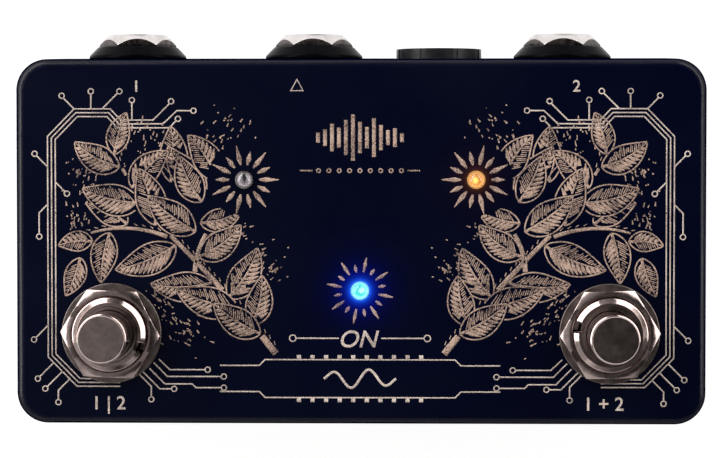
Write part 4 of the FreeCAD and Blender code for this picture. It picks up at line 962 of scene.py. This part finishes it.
# Line sockets: black moulded flanges with bright hexagon nuts and threaded noses that take the plug. The
# flange is a shallow cone, cut at its foot to the leaning wall, and the nut clamps the socket to it. The
# power socket beside them has a low ring nut of black plastic.
SOCKET_NICKEL = ((0.56, 0.53, 0.52, 1.0), (0.74, 0.71, 0.70, 1.0))
# Colours for the nuts' upright flats, far darker than the rest of the nut: painted shade standing for the
# dark surroundings the flats reflect.
PAINTED_SHADE_NICKEL = ((0.02, 0.02, 0.02, 1.0), (0.17, 0.145, 0.14, 1.0))
PAINTED_SHADE_PATCH = 0.9 * MM
BLACK = ((0.001, 0.001, 0.002, 1.0), (0.0024, 0.0024, 0.0040, 1.0))
BLACK_SPECULAR = 0.03
RING_BLACK = ((0.008, 0.008, 0.010, 1.0), (0.017, 0.017, 0.021, 1.0))
RING_SPECULAR = 0.3
MOULDED_PATCH = 1.2 * MM
SKIN_GRAIN = 0.3 * MM
SKIN_DEPTH = 0.004 * MM
WALL_LEAN = 1.1
WALL_HEIGHT = 28.8
FLANGE_BORE = 4.7
FLANGE_FOOT = 8.0
FLANGE_FACE = 6.55
FLANGE_HEIGHT = 1.85
FLANGE_RIM = 0.35
FLANGE_ROUND = 0.14
JACK_NUT_FLATS = 11.0
JACK_NUT_BORE = 4.55
JACK_NUT_LEAD = 0.12
JACK_NUT_FACE = 4.85
JACK_NUT_SLOPE = 48.0
JACK_NUT_ROUND = 0.09
JACK_NUT_UPRIGHT = 0.1
JACK_NUT_TURNS = {"left": 5.0, "middle": 0.0, "right": 0.0}
LAID_BACK = Matrix.Rotation(math.radians(-90), 4, "X")


def moulding(name, colours, roughness, specular):
    """Moulded plastic with a fine, uneven skin."""
    material, tree, shader = new_material(name, Specular_IOR_Level=specular)
    smudged(tree, shader, colours, roughness, MOULDED_PATCH)
    skin = node(tree, "Group", {"Grain": SKIN_GRAIN}, node_tree=powder).outputs["Height"]
    bumped(tree, shader, skin, SKIN_DEPTH)
    return material


socket_nickel = metal("socket_nickel", SOCKET_NICKEL, (0.10, 0.24))
# A darkened copy of the socket nickel for the nuts' flats: painted shade.
painted_shade_nickel = metal("painted_shade_nickel", PAINTED_SHADE_NICKEL, (0.22, 0.4), PAINTED_SHADE_PATCH)
black_plastic = moulding("black_moulding", BLACK, (0.2, 0.35), BLACK_SPECULAR)
for side in ("left", "middle", "right"):
    flange_low, flange_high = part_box(side + "_jack_flange")
    axis_x = (flange_low.x + flange_high.x) / 2
    axis_z = (flange_low.z + flange_high.z) / 2
    foot_y = flange_high.y - FLANGE_HEIGHT * MM
    bm = lathe([(FLANGE_BORE, 0.0), (FLANGE_FOOT, 0.0), (FLANGE_FOOT, FLANGE_RIM),
                (FLANGE_FACE, FLANGE_HEIGHT), (FLANGE_BORE, FLANGE_HEIGHT)])
    soften(bm, FLANGE_ROUND, segments=3)
    place = Matrix.Translation((axis_x, foot_y, axis_z)) @ LAID_BACK
    bmesh.ops.transform(bm, verts=bm.verts, matrix=place)
    for vert in bm.verts:
        lift = FLANGE_RIM * MM - (vert.co.y - foot_y)
        if lift > 0:
            share = lift / (FLANGE_RIM * MM)
            vert.co.y += share * (axis_z - vert.co.z) * WALL_LEAN / WALL_HEIGHT
    finished(side + "_socket_flange", bm, black_plastic, "black_plastic", "housing", side + "_jack_flange")

    nut_low, nut_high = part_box(side + "_jack_nut")
    bm = hex_nut(JACK_NUT_FLATS, JACK_NUT_BORE, JACK_NUT_LEAD, JACK_NUT_FACE, JACK_NUT_SLOPE,
                 (nut_high.y - nut_low.y) / MM)
    soften(bm, JACK_NUT_ROUND)
    bm.normal_update()
    # The upright flats of the nut take the second, darkened material: painted shade for the dark
    # surroundings they reflect.
    for face in bm.faces:
        upright = abs(face.normal.z) < JACK_NUT_UPRIGHT
        on_flat = upright and face.calc_center_median().xy.length > JACK_NUT_FACE * MM
        face.material_index = 1 if on_flat else 0
    turn = Matrix.Rotation(math.radians(JACK_NUT_TURNS[side]), 4, "Z")
    place = Matrix.Translation((axis_x, nut_low.y, axis_z)) @ LAID_BACK @ turn
    bmesh.ops.transform(bm, verts=bm.verts, matrix=place)
    nut = finished(side + "_socket_nut", bm, socket_nickel, "socket_chrome", "housing", side + "_jack_nut")
    # Second material of the nut: the painted shade on its flats.
    nut.data.materials.append(painted_shade_nickel)
    dress(socket_nickel, side + "_jack_nose")
    dress(black_plastic, side + "_jack_body")
dress(moulding("power_ring", RING_BLACK, (0.3, 0.45), RING_SPECULAR), "power_jack_nut")
dress(black_plastic, "power_jack_body")

# Lamps: 3 mm round lamps of clear epoxy, pushed up from inside so that their domes stand out of the face.
# A small cup in each holds the light source. The left one is off: its lens is painted darker towards the
# edge, painted shade for the dark hole round it, and its cup glows faintly, painted light, with a spot of
# painted shade in its hollow. The middle one shines blue and the right one amber.
LAMP_RADIUS = 1.5
LAMP_FLANGE_RADIUS = 1.9
LAMP_FLANGE_HEIGHT = 1.0
LAMP_STEPS = 64
DOME_STEPS = 12
LENS_PAINTED_SHADE = (0.02, 0.016, 0.016, 1.0)
LENS_FADE = 0.1
RIPPLE_SCALE = 900.0
RIPPLE_DEPTH = 0.004 * MM
CUP_DROP = 0.25
CUP_DEPTH = 0.5
CUP_FLOOR_RADIUS = 0.4
CUP_WALL = 0.09
CUP_FOOT = 0.6
CUP_STEPS = 48
CUP_RING = (0.45 * MM, 0.62 * MM)
SPOT_FADE = (0.1 * MM, 0.3 * MM)
LENSES = {
    # The unlit left lamp's cup glows weakly in its own colours (painted light), and its dark spot is painted
    # shade in the cup's hollow.
    "left": {"slot": "clear_lens", "tint": (0.97, 0.96, 0.98, 1.0), "shade_from": 1.32, "strength": 0.14,
             "cup": 0.66, "spot_place": (0.0, 0.24, 0.0), "squash": 0.42, "rim": (0.92, 0.86, 0.88, 1.0),
             "middle": (0.72, 0.67, 0.71, 1.0), "spot": (0.05, 0.048, 0.054, 1.0)},
    "centre": {"slot": "blue_lens", "tint": (0.95, 1.0, 1.0, 1.0), "shade_from": None, "strength": 1.0,
               "cup": 0.84, "spot_place": (0.10, -0.02, 0.0), "squash": 1.0, "rim": (0.23, 0.66, 0.69, 1.0),
               "middle": (0.05, 0.53, 0.53, 1.0), "spot": (0.58, 0.95, 0.93, 1.0)},
    "right": {"slot": "amber_lens", "tint": (1.0, 0.95, 0.85, 1.0), "shade_from": None, "strength": 1.0,
              "cup": 0.84, "spot_place": (-0.05, -0.05, 0.0), "squash": 0.8, "rim": (0.53, 0.27, 0.09, 1.0),
              "middle": (0.50, 0.22, 0.045, 1.0), "spot": (1.0, 0.84, 0.21, 1.0)},
}
for name, look in LENSES.items():
    low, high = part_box(name + "_lamp")
    centre = Vector(((low.x + high.x) / 2, (low.y + high.y) / 2, 0.0))
    bottom, top = low.z / MM, high.z / MM
    dome = top - LAMP_RADIUS
    shoulder = bottom + LAMP_FLANGE_HEIGHT
    rise = [math.pi / 2 * step / DOME_STEPS for step in range(DOME_STEPS + 1)]
    profile = [
        (0.0, bottom), (LAMP_FLANGE_RADIUS, bottom), (LAMP_FLANGE_RADIUS, shoulder), (LAMP_RADIUS, shoulder),
        *[(LAMP_RADIUS * math.cos(a), dome + LAMP_RADIUS * math.sin(a)) for a in rise],
    ]
    bm = lathe(profile, steps=LAMP_STEPS, closed=False)
    bmesh.ops.translate(bm, verts=bm.verts, vec=centre)
    lens, tree, shader = new_material(name + "_epoxy", Base_Color=look["tint"], Roughness=0.06, IOR=1.5,
                                      Transmission_Weight=1.0, Coat_Weight=1.0)
    # The unlit lens darkens towards its edge in colour, coat and gloss: painted shade for the dark hole
    # round the lamp.
    if look["shade_from"]:
        fade = (look["shade_from"] * MM, (look["shade_from"] + LENS_FADE) * MM)
        from_axis = flat_distance(tree, centre)
        shaded = mixed_colour(tree, remap(tree, from_axis, *fade), look["tint"], LENS_PAINTED_SHADE)
        tree.links.new(shaded, shader.inputs["Base Color"])
        tree.links.new(remap(tree, from_axis, *fade, 1.0, 0.0), shader.inputs["Coat Weight"])
        tree.links.new(remap(tree, from_axis, *fade, 0.5, 0.0), shader.inputs["Specular IOR Level"])
    bumped(tree, shader, noise(tree, RIPPLE_SCALE), RIPPLE_DEPTH)
    finished(name + "_lens", bm, lens, look["slot"], "housing", name + "_lamp", smooth_degrees=50.0)

    cup_top = dome - CUP_DROP
    cup_radius = look["cup"]
    bm = lathe([(0.0, cup_top - CUP_DEPTH), (CUP_FLOOR_RADIUS, cup_top - CUP_DEPTH),
                (cup_radius - CUP_WALL, cup_top), (cup_radius, cup_top), (cup_radius, bottom + CUP_FOOT),
                (0.0, bottom + CUP_FOOT)], steps=CUP_STEPS, closed=False)
    bmesh.ops.translate(bm, verts=bm.verts, vec=centre)
    cup, tree, shader = new_material(name + "_cup", Roughness=0.3)
    ring = remap(tree, flat_distance(tree, centre), *CUP_RING)
    spot_centre = centre + Vector(look["spot_place"]) * MM
    source = remap(tree, flat_distance(tree, spot_centre, look["squash"]), *SPOT_FADE)
    colour = mixed_colour(tree, source, look["spot"], mixed_colour(tree, ring, look["middle"], look["rim"]))
    tree.links.new(colour, shader.inputs["Base Color"])
    tree.links.new(colour, shader.inputs["Emission Color"])
    # For the lit lamps this emission is their light; for the unlit left lamp the weak emission is painted
    # light.
    shader.inputs["Emission Strength"].default_value = look["strength"]
    finished(name + "_reflector", bm, cup, look["slot"], "housing", smooth_degrees=30.0)

# Inner pieces: circuit boards of green laminate, plated pins and contacts soldered to them, and moulded
# parts. They are seen only when the base plate is off, or through the sockets. The rubber feet, stuck to
# the plate, are moulded too.
BOARD_COLOURS = ((0.006, 0.060, 0.024, 1.0), (0.020, 0.120, 0.050, 1.0))
BOARD_SCALE = 420.0
BOARD_RANGE = (0.42, 0.5)
CONTACT_COLOURS = ((0.55, 0.50, 0.38, 1.0), (0.78, 0.74, 0.62, 1.0))
ZINC_COLOURS = ((0.48, 0.49, 0.52, 1.0), (0.66, 0.67, 0.70, 1.0))
MOULDINGS = [
    ("switch_moulding", ((0.012, 0.055, 0.20, 1.0), (0.02, 0.075, 0.25, 1.0)), (0.4, 0.6), 0.5,
     ["left_switch_body", "right_switch_body"]),
    ("relay_moulding", ((0.58, 0.55, 0.46, 1.0), (0.70, 0.67, 0.58, 1.0)), (0.4, 0.6), 0.5, ["relays"]),
    ("chip_epoxy", ((0.008, 0.008, 0.009, 1.0), (0.016, 0.016, 0.018, 1.0)), (0.5, 0.7), 0.5,
     ["controller_chip", "regulator", "resistors", "diodes"]),
    ("can_sleeve", ((0.004, 0.006, 0.018, 1.0), (0.008, 0.010, 0.030, 1.0)), (0.2, 0.35), 0.5,
     ["capacitors"]),
    ("foot_rubber", ((0.006, 0.006, 0.006, 1.0), (0.014, 0.014, 0.014, 1.0)), (0.6, 0.8), 0.3,
     ["rubber_feet"]),
]
board, tree, shader = new_material("green_board", Roughness=0.35)
place = node(tree, "TexCoord").outputs["Object"]
cells = node(tree, "TexVoronoi", {"Vector": place, "Scale": BOARD_SCALE}, distance="MANHATTAN", feature="F1")
mask = remap(tree, cells.outputs["Distance"], *BOARD_RANGE)
tree.links.new(mixed_colour(tree, mask, *BOARD_COLOURS), shader.inputs["Base Color"])
dress(board, "main_board", "switch_board")

contact_metal = metal("tinned_brass", CONTACT_COLOURS, (0.2, 0.4))
zinc = metal("zinc_plate", ZINC_COLOURS, (0.25, 0.45))
dress(contact_metal, "header_pins", "lamp_leads", "relay_pins", "chip_legs", "power_jack_pin",
      "power_jack_contact")
dress(black_plastic, "header_spacers")
for side in ("left", "middle", "right"):
    dress(contact_metal, side + "_jack_tip_contact")
for side in ("left", "right"):
    dress(zinc, side + "_lock_washer", side + "_inner_nut")
    dress(contact_metal, side + "_contact_bridge", side + "_switch_terminals")
for name, colours, roughness, specular, nodes in MOULDINGS:
    dress(moulding(name, colours, roughness, specular), *nodes)

# Return springs: coils of zinc-plated wire between the switch bodies and the buttons' collars, shown at
# rest, each a merged copy of its CAD node with a mesh of its own.
for side in ("left", "right"):
    low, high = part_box(side + "_return_spring")
    bm = merged_copy(side + "_return_spring")
    coil = finished(side + "_coil_spring", bm, zinc, "zinc_steel", "housing", side + "_return_spring")
    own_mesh(coil)
